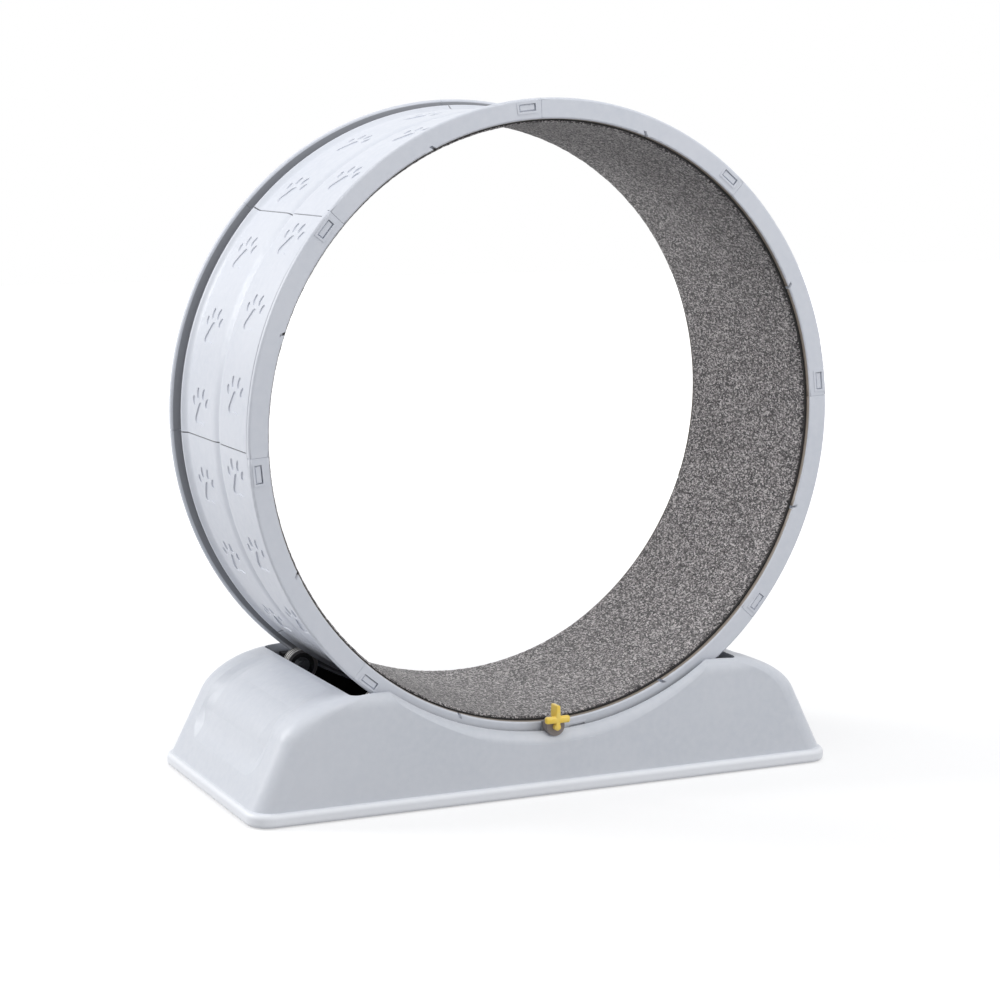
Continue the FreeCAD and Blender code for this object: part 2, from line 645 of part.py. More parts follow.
def base_levels(wall):
    """Height, half length, half depth and corner radius of each level of the base's form."""
    foot = "(sizes.foot_height - 6)"
    lower = [(z, f"{lower_half_length(z)} - {wall}", f"{half_depth(z)} - {wall}",
              f"sizes.corner_radius - {wall}") for z in (foot, "sizes.shoulder_height")]
    upper = []
    rise = value("sizes.base_height - sizes.shoulder_height")
    for step in range(ROUNDING_STEPS + 1):
        turn = 90 * step / ROUNDING_STEPS
        up, along = math.sin(math.radians(turn)), math.cos(math.radians(turn))
        z, half_length = end_level(turn)
        share = min(1, max(0, 1 - rise * (1 - up) / value("sizes.side_round_height")))
        half = f"{half_depth(z)} - sizes.side_round * {1 - math.sqrt(1 - share ** 2):.4f}"
        corner = ("sizes.crest_corner_radius + (sizes.corner_radius - sizes.crest_corner_radius)"
                  f" * {along ** 0.5:.4f}")
        upper.append((f"{z} - {wall} * {up:.4f}", f"{half_length} - {wall}", f"{half} - {wall}",
                      f"{corner} - {wall}"))
    return lower, upper


def base_form(name, wall):
    body = new_body(name)
    for part, levels in zip(("lower", "upper"), base_levels(wall)):
        sections = [rounded_rectangle(body, f"{name}_{part}_{i}", *level)
                    for i, level in enumerate(levels)]
        loft = body.newObject("PartDesign::AdditiveLoft", f"{name}_{part}_loft")
        loft.Profile = sections[0]
        loft.Sections = sections[1:]
        loft.Ruled = False
        if part == "lower" and wall != "0":
            below = rounded_rectangle(body, f"{name}_foot", *levels[0])
            pad(body, below, "sizes.foot_height", down=True)
    return body


def foot_bead():
    body = new_body("foot_bead")
    sketch = rounded_rectangle(body, "bead", "sizes.foot_gap", "sizes.base_length / 2",
                               "sizes.base_depth / 2", "sizes.corner_radius")
    bead = pad(body, sketch, "sizes.foot_height - sizes.foot_gap")
    top, bottom = value("sizes.foot_height"), value("sizes.foot_gap")
    upper = round_edges(body, bead, "sizes.foot_round", lambda e: e.BoundBox.ZMin > top - 1e-6)
    round_edges(body, upper, "sizes.foot_under_round", lambda e: e.BoundBox.ZMax < bottom + 1e-6)
    return body


def well_block(name, wall):
    body = new_body(name)
    sketch = rounded_rectangle(body, name + "_plan", f"sizes.well_floor - {wall}",
                               f"{WELL_END} + {wall}", f"{WELL_SIDE} + {wall}",
                               f"sizes.well_corner_radius + {wall}")
    pad(body, sketch, "sizes.base_height")
    return body


# Sides of the scoop's section that are arcs, with the angle at which each starts, counter-clockwise.
LIP_ARCS = {2: 180, 4: 90}


def lip_scoop():
    """The wheel's sweep through the lips, turned from a section that also rounds their outer edges."""
    body = new_body("scoop")
    sketch = new_sketch(body, "scoop_section", "XZ_Plane")
    edge = half_depth(f"({AXIS_Z} - sizes.lip_radius)")
    flare, start = "(sizes.lip_radius + sizes.lip_round)", f"({edge} - sizes.lip_round)"
    points = [("0", "-sizes.base_depth"), (flare, "-sizes.base_depth"), (flare, f"-{edge}"),
              ("sizes.lip_radius", f"-{start}"), ("sizes.lip_radius", start), (flare, edge),
              (flare, "sizes.base_depth"), ("0", "sizes.base_depth")]
    places = [Vector(value(x), value(y), 0) for x, y in points]
    radius = value("sizes.lip_round")
    ends = []
    for i, here in enumerate(places):
        if i in LIP_ARCS:
            middle = Vector(value(flare), math.copysign(value(start), here.y), 0)
            turn = math.radians(LIP_ARCS[i])
            circle = Part.Circle(middle, Vector(0, 0, 1), radius)
            sketch.addGeometry(Part.ArcOfCircle(circle, turn, turn + math.pi / 2))
            ends.append((2, 1))
        else:
            sketch.addGeometry(Part.LineSegment(here, places[(i + 1) % len(places)]))
            ends.append((1, 2))
    for i in range(len(points)):
        after = (i + 1) % len(points)
        sketch.addConstraint(Sketcher.Constraint("Coincident", i, ends[i][1], after, ends[after][0]))
    for i, (x, y) in enumerate(points):
        hold_point(sketch, i, ends[i][0], x, y)
    for i in LIP_ARCS:
        index = sketch.addConstraint(Sketcher.Constraint("Radius", i, radius))
        sketch.setExpression(f"Constraints[{index}]", "sizes.lip_round")
    revolve(body, sketch)
    return place(body, z=AXIS_Z, rotation=TO_FRONT)


# Height or turn of each level of the recess, its share of the depth, and what its half width loses.
DISH_LEVELS = [
    ("sizes.dish_bottom", 0, 24),
    ("(sizes.dish_bottom + 4)", 0.35, 14),
    ("(sizes.dish_bottom + 12)", 0.9, 5),
    ("(sizes.dish_bottom + 22)", 1, 0),
    (12, 1, 0),
    (30, 1, 0),
    (46, 0.95, 3),
    (60, 0.6, 10),
    (72, 0, 22),
]


def end_dish(name, side, wall):
    """The tool for the shallow recess in one end of the base, or for the wall behind it."""
    body = new_body(name)
    sections = []
    for i, (where, share, loss) in enumerate(DISH_LEVELS):
        if isinstance(where, str):
            z, half_length = where, lower_half_length(where)
        else:
            z, half_length = end_level(where)
        depth = f"(sizes.dish_depth * {share} + {wall})"
        outside = "sizes.dish_reach"
        grow = f"({wall} + sizes.dish_half_width - {loss})"
        slope = f"sizes.dish_slope / sizes.dish_depth"
        inner_half = f"({grow} - {slope} * sizes.dish_depth * {share})"
        outer_half = f"({grow} + {slope} * {outside})"
        deep, proud = f"{side} * ({half_length} - {depth})", f"{side} * ({half_length} + {outside})"
        sketch = new_sketch(body, f"{name}_{i}", "XY_Plane", z)
        outline(sketch, [(deep, f"-{inner_half}"), (deep, inner_half), (proud, outer_half),
                         (proud, f"-{outer_half}")])
        sections.append(sketch)
    loft = body.newObject("PartDesign::AdditiveLoft", name + "_loft")
    loft.Profile = sections[0]
    loft.Sections = sections[1:]
    loft.Ruled = False
    return body


def make_base():
    outside = fuse("base_outside", base_form("base_envelope", "0"), foot_bead())
    well = well_block("well", "0")
    well_skin = well_block("well_skin", "sizes.base_wall")
    scoop_band = cylinder("scoop_band", "sizes.lip_radius + sizes.lip_band", "2 * sizes.base_depth", "0",
                          "sizes.base_depth", AXIS_Z, TO_FRONT)
    inner_dishes = [end_dish(f"inner_dish_{side}", side, "sizes.base_wall") for side in (-1, 1)]
    cavity = cut("cavity", base_form("base_cavity", "sizes.base_wall"), well_skin, scoop_band,
                 *inner_dishes)
    dishes = [end_dish(f"dish_{side}", side, "0") for side in (-1, 1)]
    shell = cut("shell", outside, well, lip_scoop(), cavity, *dishes)
    inside = [box(f"rib_{side}", "sizes.rib_thick", f"2 * ({WELL_SIDE} + sizes.base_wall)",
                  "sizes.well_floor - sizes.foot_height", f"{side} * sizes.rib_spacing / 2", "0",
                  "sizes.foot_height - sizes.base_wall / 2") for side in (-1, 1)]
    for corner, (side_x, side_y) in CORNERS.items():
        edge = "(sizes.foot_step + sizes.base_wall)"
        inside.append(box(f"foot_plate_{corner}", "sizes.foot_plate", "sizes.foot_plate",
                          "2 * sizes.base_wall",
                          f"{side_x} * (sizes.base_length / 2 - {edge} - sizes.foot_plate / 2)",
                          f"{side_y} * (sizes.base_depth / 2 - {edge} - sizes.foot_plate / 2)",
                          "sizes.foot_gap"))
    stiff = boolean("Part::Common", "stiffeners", fuse("stiffener_blocks", *inside), [outside_copy()])
    whole = fuse("base_whole", shell, stiff)
    tools = [
        cylinder("cradle_notch", "sizes.cradle_radius + sizes.cradle_clearance", "sizes.base_depth / 4",
                 "0", f"-{WELL_SIDE} + 1", "sizes.lock_height", TO_FRONT),
        box("tab_slot", "sizes.cradle_tab_length + 2 * sizes.cradle_clearance",
            "sizes.cradle_tab_width + 2 * sizes.cradle_clearance",
            "sizes.cradle_tab_depth + sizes.cradle_radius", "0", TAB_Y,
            "sizes.lock_height - sizes.cradle_radius - sizes.cradle_tab_depth - sizes.cradle_clearance"),
    ]
    for corner, (side_x, side_y) in CORNERS.items():
        for index, (x, y) in enumerate(screw_places(side_x, side_y)):
            tools.append(cylinder(f"floor_hole_{corner}_{index}", "sizes.screw_radius",
                                  "3 * sizes.base_wall", x, y, "sizes.well_floor - 2 * sizes.base_wall"))
    keep(cut("base_shell", whole, *tools), "base_shell")

    pads = [cylinder(f"pad_{corner}", "sizes.foot_pad_radius", "sizes.foot_gap",
                     f"{side_x} * (sizes.base_length / 2 - sizes.foot_pad_inset)",
                     f"{side_y} * (sizes.base_depth / 2 - sizes.foot_pad_inset)", "0")
            for corner, (side_x, side_y) in CORNERS.items()]
    keep(group("rubber_feet", pads), "rubber_feet")


def outside_copy():
    """The base's form once more, to trim the plates and ribs to it."""
    return fuse("stiffener_trim", base_form("trim_form", "sizes.base_wall / 2"), foot_bead())


# --- lock ----------------------------------------------------------------------------------------

TAB_Y = f"-({WELL_SIDE} + sizes.cradle_tab_place)"


def make_lock():
    axis = "sizes.lock_height"
    round_part = cylinder("cradle_round", "sizes.cradle_radius", f"{CRADLE_FRONT} - {CRADLE_BACK}", "0",
                          f"-{CRADLE_BACK}", axis, TO_FRONT)
    tab = box("cradle_tab", "sizes.cradle_tab_length", "sizes.cradle_tab_width",
              "sizes.cradle_tab_depth + sizes.cradle_radius / 3", "0", TAB_Y,
              f"{axis} - sizes.cradle_radius - sizes.cradle_tab_depth")
    bore = cylinder("cradle_bore", "sizes.spindle_radius + sizes.spindle_clearance",
                    "sizes.base_depth / 2", "0", "0", axis, TO_FRONT)
    guide_z = f"{axis} - sizes.guide_drop"
    sides = (-1, 1)
    guide_holes = [cylinder(f"guide_hole_{side}", "sizes.guide_radius + 0.1", "sizes.guide_length + 1",
                            f"{side} * sizes.guide_spacing / 2", f"-{CRADLE_BACK}", guide_z, TO_FRONT)
                   for side in sides]
    keep(cut("lock_housing", fuse("cradle", round_part, tab), bore, *guide_holes), "lock_housing")

    lever_back = f"({CRADLE_FRONT} + sizes.lever_gap)"
    depth = f"({LEVER_FRONT} - {lever_back})"
    bar = box("lever_bar", "sizes.lever_bar_length", depth, "sizes.lever_bar_height", "0",
              f"-({lever_back} + {depth} / 2)",
              f"{axis} + sizes.lever_bar_rise - sizes.lever_bar_height / 2")
    blade = box("lever_blade", "sizes.lever_blade_thick", depth,
                "sizes.lever_blade_rise + sizes.lever_blade_drop", "0", f"-({lever_back} + {depth} / 2)",
                f"{axis} - sizes.lever_blade_drop")
    upper_foot = f"({axis} + sizes.cradle_radius + 1)"
    upper = box("lever_upper", "sizes.lever_blade_thick", "sizes.lever_blade_depth",
                f"{axis} + sizes.lever_blade_rise - {upper_foot}", "0",
                f"-({LEVER_FRONT} - sizes.lever_blade_depth / 2)", upper_foot)
    boss = cylinder("lever_boss", "1.7 * sizes.spindle_radius", depth, "0", f"-{lever_back}", axis,
                    TO_FRONT)
    socket_depth = f"(0.7 * {depth})"
    socket = cylinder("lever_socket", "sizes.spindle_radius", socket_depth, "0", f"-{lever_back}",
                      axis, TO_FRONT)
    solid = fuse("lever_solid", bar, blade, upper, boss)
    doc.recompute()
    soft = doc.addObject("Part::Fillet", "lever_soft")
    soft.Base = solid
    front = -value(LEVER_FRONT)
    radius = value("sizes.lever_round")
    soft.Edges = [(i, radius, radius) for i, edge in enumerate(solid.Shape.Edges, start=1)
                  if on_front(edge, front)]
    keep(cut("lock_lever", soft, socket), "lock_lever")

    spindle_end = f"({CRADLE_BACK} - sizes.carrier_gap - sizes.carrier_thick)"
    keep(cylinder("lock_spindle", "sizes.spindle_radius",
                  f"{lever_back} + {socket_depth} - {spindle_end}", "0", f"-{spindle_end}", axis,
                  TO_FRONT), "lock_spindle")

    plate_y = f"-({CRADLE_BACK} - sizes.carrier_gap - sizes.carrier_thick / 2)"
    plate_z = f"({axis} + sizes.spindle_radius + 1.6 - sizes.carrier_height)"
    plate = box("carrier_plate", "sizes.carrier_width", "sizes.carrier_thick", "sizes.carrier_height",
                "0", plate_y, plate_z)
    pins = [cylinder(f"guide_pin_{side}", "sizes.guide_radius", "sizes.guide_length",
                     f"{side} * sizes.guide_spacing / 2", f"-({CRADLE_BACK} - sizes.carrier_gap - 0.5)",
                     guide_z, TO_FRONT) for side in sides]
    keep(cut("pad_carrier", fuse("carrier", plate, *pins),
             cylinder("carrier_bore", "sizes.spindle_radius + sizes.spindle_clearance",
                      "sizes.base_depth / 2", "0", "0", axis, TO_FRONT)), "pad_carrier")

    pad_y = f"-({CRADLE_BACK} - sizes.carrier_gap - sizes.carrier_thick - sizes.pad_thick / 2)"
    keep(box("brake_pad", "sizes.carrier_width - 2 * sizes.pad_margin", "sizes.pad_thick",
             f"{axis} - sizes.spindle_radius - 1 - {plate_z} - sizes.pad_margin", "0", pad_y,
             f"{plate_z} + sizes.pad_margin"), "brake_pad")


def on_front(edge, front):
    bounds = edge.BoundBox
    return abs(bounds.YMin - front) < 1e-6 and abs(bounds.YMax - front) < 1e-6


def check_objects():
    for obj in doc.Objects:
        bad = {"Invalid", "Error"}.intersection(obj.State)
        if bad:
            raise RuntimeError(f"{obj.Name} failed: {obj.State} {obj.getStatusString()}")
    for obj in SUB_PARTS:
        if obj.Shape.isNull() or not obj.Shape.isValid():
            raise RuntimeError(f"{obj.Label} has no valid shape")


def main():
    for number in range(1, 9):
        make_segment(number)
    make_mat()
    make_rollers()
    make_base()
    make_lock()
    doc.recompute()
    check_objects()
    os.makedirs("parts", exist_ok=True)
    for obj in SUB_PARTS:
        obj.Shape.exportStep(f"parts/{obj.Label}.step")
        span = obj.Shape.BoundBox
        print(f"{obj.Label}: {len(obj.Shape.Solids)} solids, volume {obj.Shape.Volume / 1000:.1f} cm3, "
              f"x {span.XMin:.1f} {span.XMax:.1f} y {span.YMin:.1f} {span.YMax:.1f} "
              f"z {span.ZMin:.1f} {span.ZMax:.1f}")


main()
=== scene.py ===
"""Cat exercise wheel: the surfaces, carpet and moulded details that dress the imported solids."""
import json
import math

import bmesh
import bpy
import numpy as np
from mathutils import Matrix, Vector


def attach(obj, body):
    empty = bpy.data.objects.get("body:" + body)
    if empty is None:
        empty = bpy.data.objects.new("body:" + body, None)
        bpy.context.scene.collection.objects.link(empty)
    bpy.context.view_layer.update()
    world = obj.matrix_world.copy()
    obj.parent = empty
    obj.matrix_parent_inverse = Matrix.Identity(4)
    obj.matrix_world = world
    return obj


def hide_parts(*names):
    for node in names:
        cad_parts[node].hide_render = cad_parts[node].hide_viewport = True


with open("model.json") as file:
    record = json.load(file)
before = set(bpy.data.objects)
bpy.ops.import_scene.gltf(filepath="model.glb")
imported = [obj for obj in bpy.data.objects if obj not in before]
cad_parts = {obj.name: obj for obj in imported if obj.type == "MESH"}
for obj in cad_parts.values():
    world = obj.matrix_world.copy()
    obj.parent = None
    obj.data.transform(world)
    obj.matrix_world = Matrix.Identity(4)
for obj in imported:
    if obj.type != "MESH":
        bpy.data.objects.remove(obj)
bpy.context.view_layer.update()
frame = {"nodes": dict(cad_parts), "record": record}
NODES = frame["nodes"]

MM = 0.001
AXLE_Z = 451.5 * MM          # the wheel turns about a line along Y at this height
FLANGE_R = 388.5 * MM        # outside of the side flanges
RIDGE_R = 381.3 * MM         # top of the ridges beside the roller channels
SHELL_R = 376 * MM           # outside of the panels between the ridges
FIRST_SEAM = 3               # degrees, counter-clockwise seen from the lock's side
SEGMENT_SPAN = 45            # degrees
SEGMENTS = range(1, 9)
FRONT_AND_BACK = (-1, 1)     # the lock's side first


# ---------------------------------------------------------------- colour and node helpers

MATH, MAP_RANGE = "ShaderNodeMath", "ShaderNodeMapRange"
NOISE, BUMP, SPLIT = "ShaderNodeTexNoise", "ShaderNodeBump", "ShaderNodeSeparateXYZ"


def srgb(code):
    """An sRGB hex code as the linear colour that a shader socket takes."""
    parts = [int(code[i:i + 2], 16) / 255 for i in (1, 3, 5)]
    return tuple(c / 12.92 if c <= 0.04045 else ((c + 0.055) / 1.055) ** 2.4 for c in parts) + (1.0,)


def add(tree, kind, links=(), stops=(), **settings):
    """Adds a node. Links name its inputs, or give them in order: each is a value to set, a socket
    to join or a node whose first output is joined. Settings go on the node itself, and stops,
    which are places and hex codes, on its colour ramp."""
    node = tree.nodes.new(kind)
    for name, value in settings.items():
        setattr(node, name, value)
    for key, value in links.items() if isinstance(links, dict) else enumerate(links):
        if isinstance(value, bpy.types.Node):
            value = value.outputs[0]
        if isinstance(value, bpy.types.NodeSocket):
            tree.links.new(value, node.inputs[key])
        else:
            node.inputs[key].default_value = value
    if stops:
        band = node.color_ramp.elements
        while len(band) < len(stops):
            band.new(0.5)
        for element, (position, code) in zip(band, stops):
            element.position = position
            element.color = srgb(code)
    return node


def scale_of(millimetres):
    """A texture scale whose features are about that size."""
    return 1 / (millimetres * MM)


def new_finish(name, **surface):
    """A material with one Principled shader, its object coordinates and its even values set."""
    material = bpy.data.materials.new(name)
    material.use_nodes = True
    tree = material.node_tree
    tree.nodes.clear()
    shader = add(tree, "ShaderNodeBsdfPrincipled")
    add(tree, "ShaderNodeOutputMaterial", {"Surface": shader}).is_active_output = True
    for socket, value in surface.items():
        shader.inputs[socket.replace("_", " ")].default_value = value
    place = add(tree, "ShaderNodeTexCoord").outputs["Object"]
    return material, tree, shader, place


# ---------------------------------------------------------------- where a moulding changes its tone, with painted shade and light

SOFT_EDGE = 0.4 * MM
LOWEST, HIGHEST = -1.0, 1.0        # metres, past every piece
# Painted shade: the roller channels and the flanges' inner faces, darkened for the shadow the flanges cast
# into them.
CHANNEL_SHADE_R, CHANNEL_SHADE_SIDE = (375.3 * MM, 385.2 * MM), (117.6 * MM, 136.3 * MM)
# Painted shade: the bare bore beside the mat, darker and tinted tan like light thrown back by the carpet.
BORE_R, BORE_SIDE = (362.0 * MM, 364.0 * MM), (130.0 * MM, 143.0 * MM)
SEAM_LINE_HALF, SEAM_LINE_SIDE, SEAM_LINE_R = 0.75 * MM, 117 * MM, 370 * MM
WELL_ALONG, WELL_SIDE, WELL_HEIGHT = 264.2 * MM, 150.2 * MM, (49.0 * MM, 133.0 * MM)
BEAD_TOP = 17.5 * MM
RECESS_SIDE, RECESS_FOOT, RECESS_ALONG, RECESS_DEPTH = 99 * MM, 64 * MM, 296 * MM, 5.5 * MM
# The first two tones are painted shade; the third is the seams' own dark joint line.
CHANNEL_SHADE_TONE, BORE_SHADE_TONE, SEAM_TONE = "#94969c", "#8d8278", "#4a4b50"
# Painted shade inside the well, painted light on the foot bead.
WELL_SHADE_TONE, BEAD_LIGHT_TONE = "#151517", "#edeff4"


def zone(tree, *limits):
    """A mask that is one where every value lies between its own two limits. Each limit is the
    value, its lowest, its highest and how soft its ends are."""
    whole = None
    for value, low, high, soft in limits:
        rise = add(tree, MAP_RANGE, {"Value": value, "From Min": low - soft, "From Max": low + soft})
        fall = add(tree, MAP_RANGE, {"Value": value, "From Min": high - soft, "From Max": high + soft,
                                     "To Min": 1.0, "To Max": 0.0})
        inside = add(tree, MATH, (rise, fall), operation="MULTIPLY")
        whole = add(tree, MATH, (whole, inside), operation="MULTIPLY") if whole else inside
    return whole


def place_on_wheel(tree, place):
    """Distance from the axle line, distance from the middle of the width, and angle round."""
    x, y, z = add(tree, SPLIT, [place]).outputs
    rise = add(tree, MATH, (z, AXLE_Z), operation="SUBTRACT")
    arm = add(tree, "ShaderNodeCombineXYZ", (x, 0.0, rise))
    radius = add(tree, "ShaderNodeVectorMath", [arm], operation="LENGTH").outputs["Value"]
    side = add(tree, MATH, [y], operation="ABSOLUTE")
    return radius, side, add(tree, MATH, (rise, x), operation="ARCTAN2")


def place_on_base(tree, place):
    """Distance from the middle along the base, distance from it across the base, and height."""
    x, y, z = add(tree, SPLIT, [place]).outputs
    return add(tree, MATH, [x], operation="ABSOLUTE"), add(tree, MATH, [y], operation="ABSOLUTE"), z


def wheel_zones(tree, place):
    """The channels that the rollers run in and the flanges' inner faces beside them are darkened as
    painted shade for the shadow the flanges cast; the bare bore beside the mat is painted shade,
    tinted tan like light thrown back by the carpet; and the line between two segments is dark."""
    radius, side, turn = place_on_wheel(tree, place)
    # painted shade in the roller channels
    channel_shade = zone(tree, (radius, *CHANNEL_SHADE_R, 0.6 * MM), (side, *CHANNEL_SHADE_SIDE, 0.2 * MM))
    # painted shade on the bare bore, tinted tan like the carpet's bounced light
    bore = zone(tree, (radius, *BORE_R, 0.3 * MM), (side, *BORE_SIDE, SOFT_EDGE))
    past = add(tree, MATH, (turn, math.radians(FIRST_SEAM)), operation="SUBTRACT")
    count = add(tree, MATH, (past, math.radians(SEGMENT_SPAN)), operation="DIVIDE")
    whole = add(tree, MATH, [count], operation="ROUND")
    off = add(tree, MATH, (count, whole), operation="SUBTRACT")
    off = add(tree, MATH, [off], operation="ABSOLUTE")
    away = add(tree, MATH, (off, math.radians(SEGMENT_SPAN) * SHELL_R), operation="MULTIPLY")
    seam = zone(tree, (away, LOWEST, SEAM_LINE_HALF, 0.12 * MM),
                (side, LOWEST, SEAM_LINE_SIDE, SOFT_EDGE), (radius, SEAM_LINE_R, HIGHEST, SOFT_EDGE))
    return (channel_shade, CHANNEL_SHADE_TONE), (bore, BORE_SHADE_TONE), (seam, SEAM_TONE)


def base_zones(tree, place):
    """The well is darkened inside as painted shade, and the foot bead is made paler as painted
    light, for the light that falls on it."""
    along, side, height = place_on_base(tree, place)
    # painted shade inside the well
    well = zone(tree, (along, LOWEST, WELL_ALONG, 0.1 * MM), (side, LOWEST, WELL_SIDE, 0.1 * MM),
                (height, *WELL_HEIGHT, 5 * MM))
    # painted light on the foot bead
    bead = zone(tree, (height, LOWEST, BEAD_TOP, 1.5 * MM))
    return (well, WELL_SHADE_TONE), (bead, BEAD_LIGHT_TONE)


def end_recess(tree, place):
    """How far a point lies in the shallow recess of the base's end, from 0 to 1, with soft edges."""
    along, side, height = place_on_base(tree, place)
    return zone(tree, (side, LOWEST, RECESS_SIDE, 16 * MM), (height, RECESS_FOOT, HIGHEST, 18 * MM),
                (along, RECESS_ALONG, HIGHEST, 24 * MM))


# ---------------------------------------------------------------- finishes

def satin_polypropylene(name, colour, cool, zones, grain_mm=1.6, recess=None):
    """Injection-moulded polypropylene, satin from a fine-eroded mould: an even pale colour that
    drifts a little over a hand's width, a faint orange-peel grain and a soft wide highlight."""
    material, tree, shader, place = new_finish(name, IOR=1.49, Roughness=0.42)
    drift = add(tree, NOISE, {"Vector": place, "Scale": scale_of(110), "Detail": 2.0})
    flow = add(tree, NOISE, {"Vector": place, "Scale": scale_of(9), "Detail": 3.0})
    blend = add(tree, MATH, (drift.outputs["Fac"], flow.outputs["Fac"]), operation="MULTIPLY")
    tint = add(tree, "ShaderNodeValToRGB", [blend], [(0.10, colour), (0.42, cool)]).outputs[0]
    for mask, tone in zones(tree, place):
        tint = add(tree, "ShaderNodeMix", {0: mask, 6: tint, 7: srgb(tone)}, data_type="RGBA").outputs[2]
    tree.links.new(tint, shader.inputs["Base Color"])
    sheen = add(tree, MAP_RANGE, {"Value": flow.outputs["Fac"], "To Min": 0.36, "To Max": 0.50})
    tree.links.new(sheen.outputs[0], shader.inputs["Roughness"])
    grain = add(tree, NOISE, {"Vector": place, "Scale": scale_of(grain_mm), "Detail": 2.0})
    skin = add(tree, BUMP, {"Height": grain.outputs["Fac"], "Strength": 0.16, "Distance": 0.06 * MM})
    if recess:
        form = add(tree, BUMP, {"Height": recess(tree, place), "Strength": 1.0,
                                "Distance": RECESS_DEPTH}, invert=True)
        tree.links.new(form.outputs[0], skin.inputs["Normal"])
    tree.links.new(skin.outputs[0], shader.inputs["Normal"])
    return material


def matt_plastic(name, colour, worn, roughness=0.55, grain_mm=0.9):
    """Moulded plastic with a spark-eroded grain: no clear highlight, paler where it is rubbed."""
    material, tree, shader, place = new_finish(name, IOR=1.5, Roughness=roughness)
    rub = add(tree, NOISE, {"Vector": place, "Scale": scale_of(12), "Detail": 4.0}).outputs["Fac"]
    tone = add(tree, "ShaderNodeValToRGB", [rub], [(0.35, colour), (0.75, worn)])
    tree.links.new(tone.outputs[0], shader.inputs["Base Color"])
    grain = add(tree, NOISE, {"Vector": place, "Scale": scale_of(grain_mm), "Detail": 3.0})
    skin = add(tree, BUMP, {"Height": grain.outputs["Fac"], "Strength": 0.3, "Distance": 0.08 * MM})
    tree.links.new(skin.outputs[0], shader.inputs["Normal"])
    rough = add(tree, MAP_RANGE, {"Value": rub, "To Min": roughness - 0.06, "To Max": roughness + 0.08})
    tree.links.new(rough.outputs[0], shader.inputs["Roughness"])
    return material


def rubber(name, colour, dusty, grain_mm=1.2, side=None):
    """Cured rubber: deep colour with a dry bloom in patches and a fine cellular skin. A tyre's
    sides may have a tone of their own."""
    material, tree, shader, place = new_finish(name, IOR=1.52, Roughness=0.75)
    bloom = add(tree, NOISE, {"Vector": place, "Scale": scale_of(7), "Detail": 4.0}).outputs["Fac"]
    tone = add(tree, "ShaderNodeValToRGB", [bloom], [(0.4, colour), (0.8, dusty)]).outputs[0]
    if side:
        facing = add(tree, "ShaderNodeNewGeometry").outputs["True Normal"]
        across = add(tree, SPLIT, [facing]).outputs[1]
        sideways = add(tree, MATH, (across, across), operation="MULTIPLY")
        mask = zone(tree, (sideways, 0.8, 2.0, 0.1))
        tone = add(tree, "ShaderNodeMix", {0: mask, 6: tone, 7: srgb(side)}, data_type="RGBA").outputs[2]
    tree.links.new(tone, shader.inputs["Base Color"])
    cells = add(tree, "ShaderNodeTexVoronoi", {"Vector": place, "Scale": scale_of(grain_mm)})
    skin = add(tree, BUMP, {"Height": cells.outputs["Distance"], "Strength": 0.35, "Distance": 0.12 * MM})
    tree.links.new(skin.outputs[0], shader.inputs["Normal"])
    return material


def zinc_plated_steel(name):
    """Bright zinc on turned steel: neutral metal, fine turning lines and a slightly cloudy plate."""
    material, tree, shader, place = new_finish(name, Metallic=1.0, Roughness=0.34)
    cloud = add(tree, NOISE, {"Vector": place, "Scale": scale_of(4), "Detail": 3.0}).outputs["Fac"]
    tone = add(tree, "ShaderNodeValToRGB", [cloud], [(0.3, "#8f9094"), (0.7, "#b4b5b8")])
    tree.links.new(tone.outputs[0], shader.inputs["Base Color"])
    lines = add(tree, NOISE, {"Vector": place, "Scale": scale_of(0.8), "Detail": 2.0}).outputs["Fac"]
    plate = add(tree, MAP_RANGE, {"Value": lines, "To Min": 0.26, "To Max": 0.44})
    tree.links.new(plate.outputs[0], shader.inputs["Roughness"])
    skin = add(tree, BUMP, {"Height": lines, "Strength": 0.12, "Distance": 0.05 * MM})
    tree.links.new(skin.outputs[0], shader.inputs["Normal"])
    return material


def heathered_loop_pile(name):
    """Needled polyester loop pile, heathered from charcoal, mid grey and pale grey yarn: each
    loop has its own tone, and the tones gather into short streaks across the runway. The loops are
    drawn about 1.5 mm apart, coarser than the yarn, so that they show."""
    material, tree, shader, place = new_finish(name, IOR=1.5, Roughness=0.96, Sheen_Weight=0.25,
                                               Sheen_Roughness=0.6)
    across = add(tree, "ShaderNodeMapping", {"Vector": place, "Scale": (1.0, 0.55, 1.0)})
    loops = add(tree, "ShaderNodeTexVoronoi", {"Vector": across, "Scale": scale_of(1.5)})
    tone = add(tree, "ShaderNodeSeparateColor", [loops.outputs["Color"]])
    streaks = add(tree, NOISE, {"Vector": across, "Scale": scale_of(4.0), "Detail": 3.0, "Roughness": 0.7})
    mixed = add(tree, "ShaderNodeMix", {"Factor": 0.34, "A": tone, "B": streaks.outputs["Fac"]},
                data_type="FLOAT")
    yarn = add(tree, "ShaderNodeValToRGB", [mixed], [
        (0.16, "#1b191a"), (0.34, "#403d3e"), (0.50, "#6a6667"), (0.66, "#989393"), (0.86, "#d4cfcf")])
    tree.links.new(yarn.outputs[0], shader.inputs["Base Color"])
    fibres = add(tree, NOISE, {"Vector": place, "Scale": scale_of(0.9), "Detail": 3.0})
    height = add(tree, MATH, (fibres.outputs["Fac"], loops.outputs["Distance"]), operation="SUBTRACT")
    skin = add(tree, BUMP, {"Height": height, "Strength": 0.8, "Distance": 0.5 * MM})
    tree.links.new(skin.outputs[0], shader.inputs["Normal"])
    return material


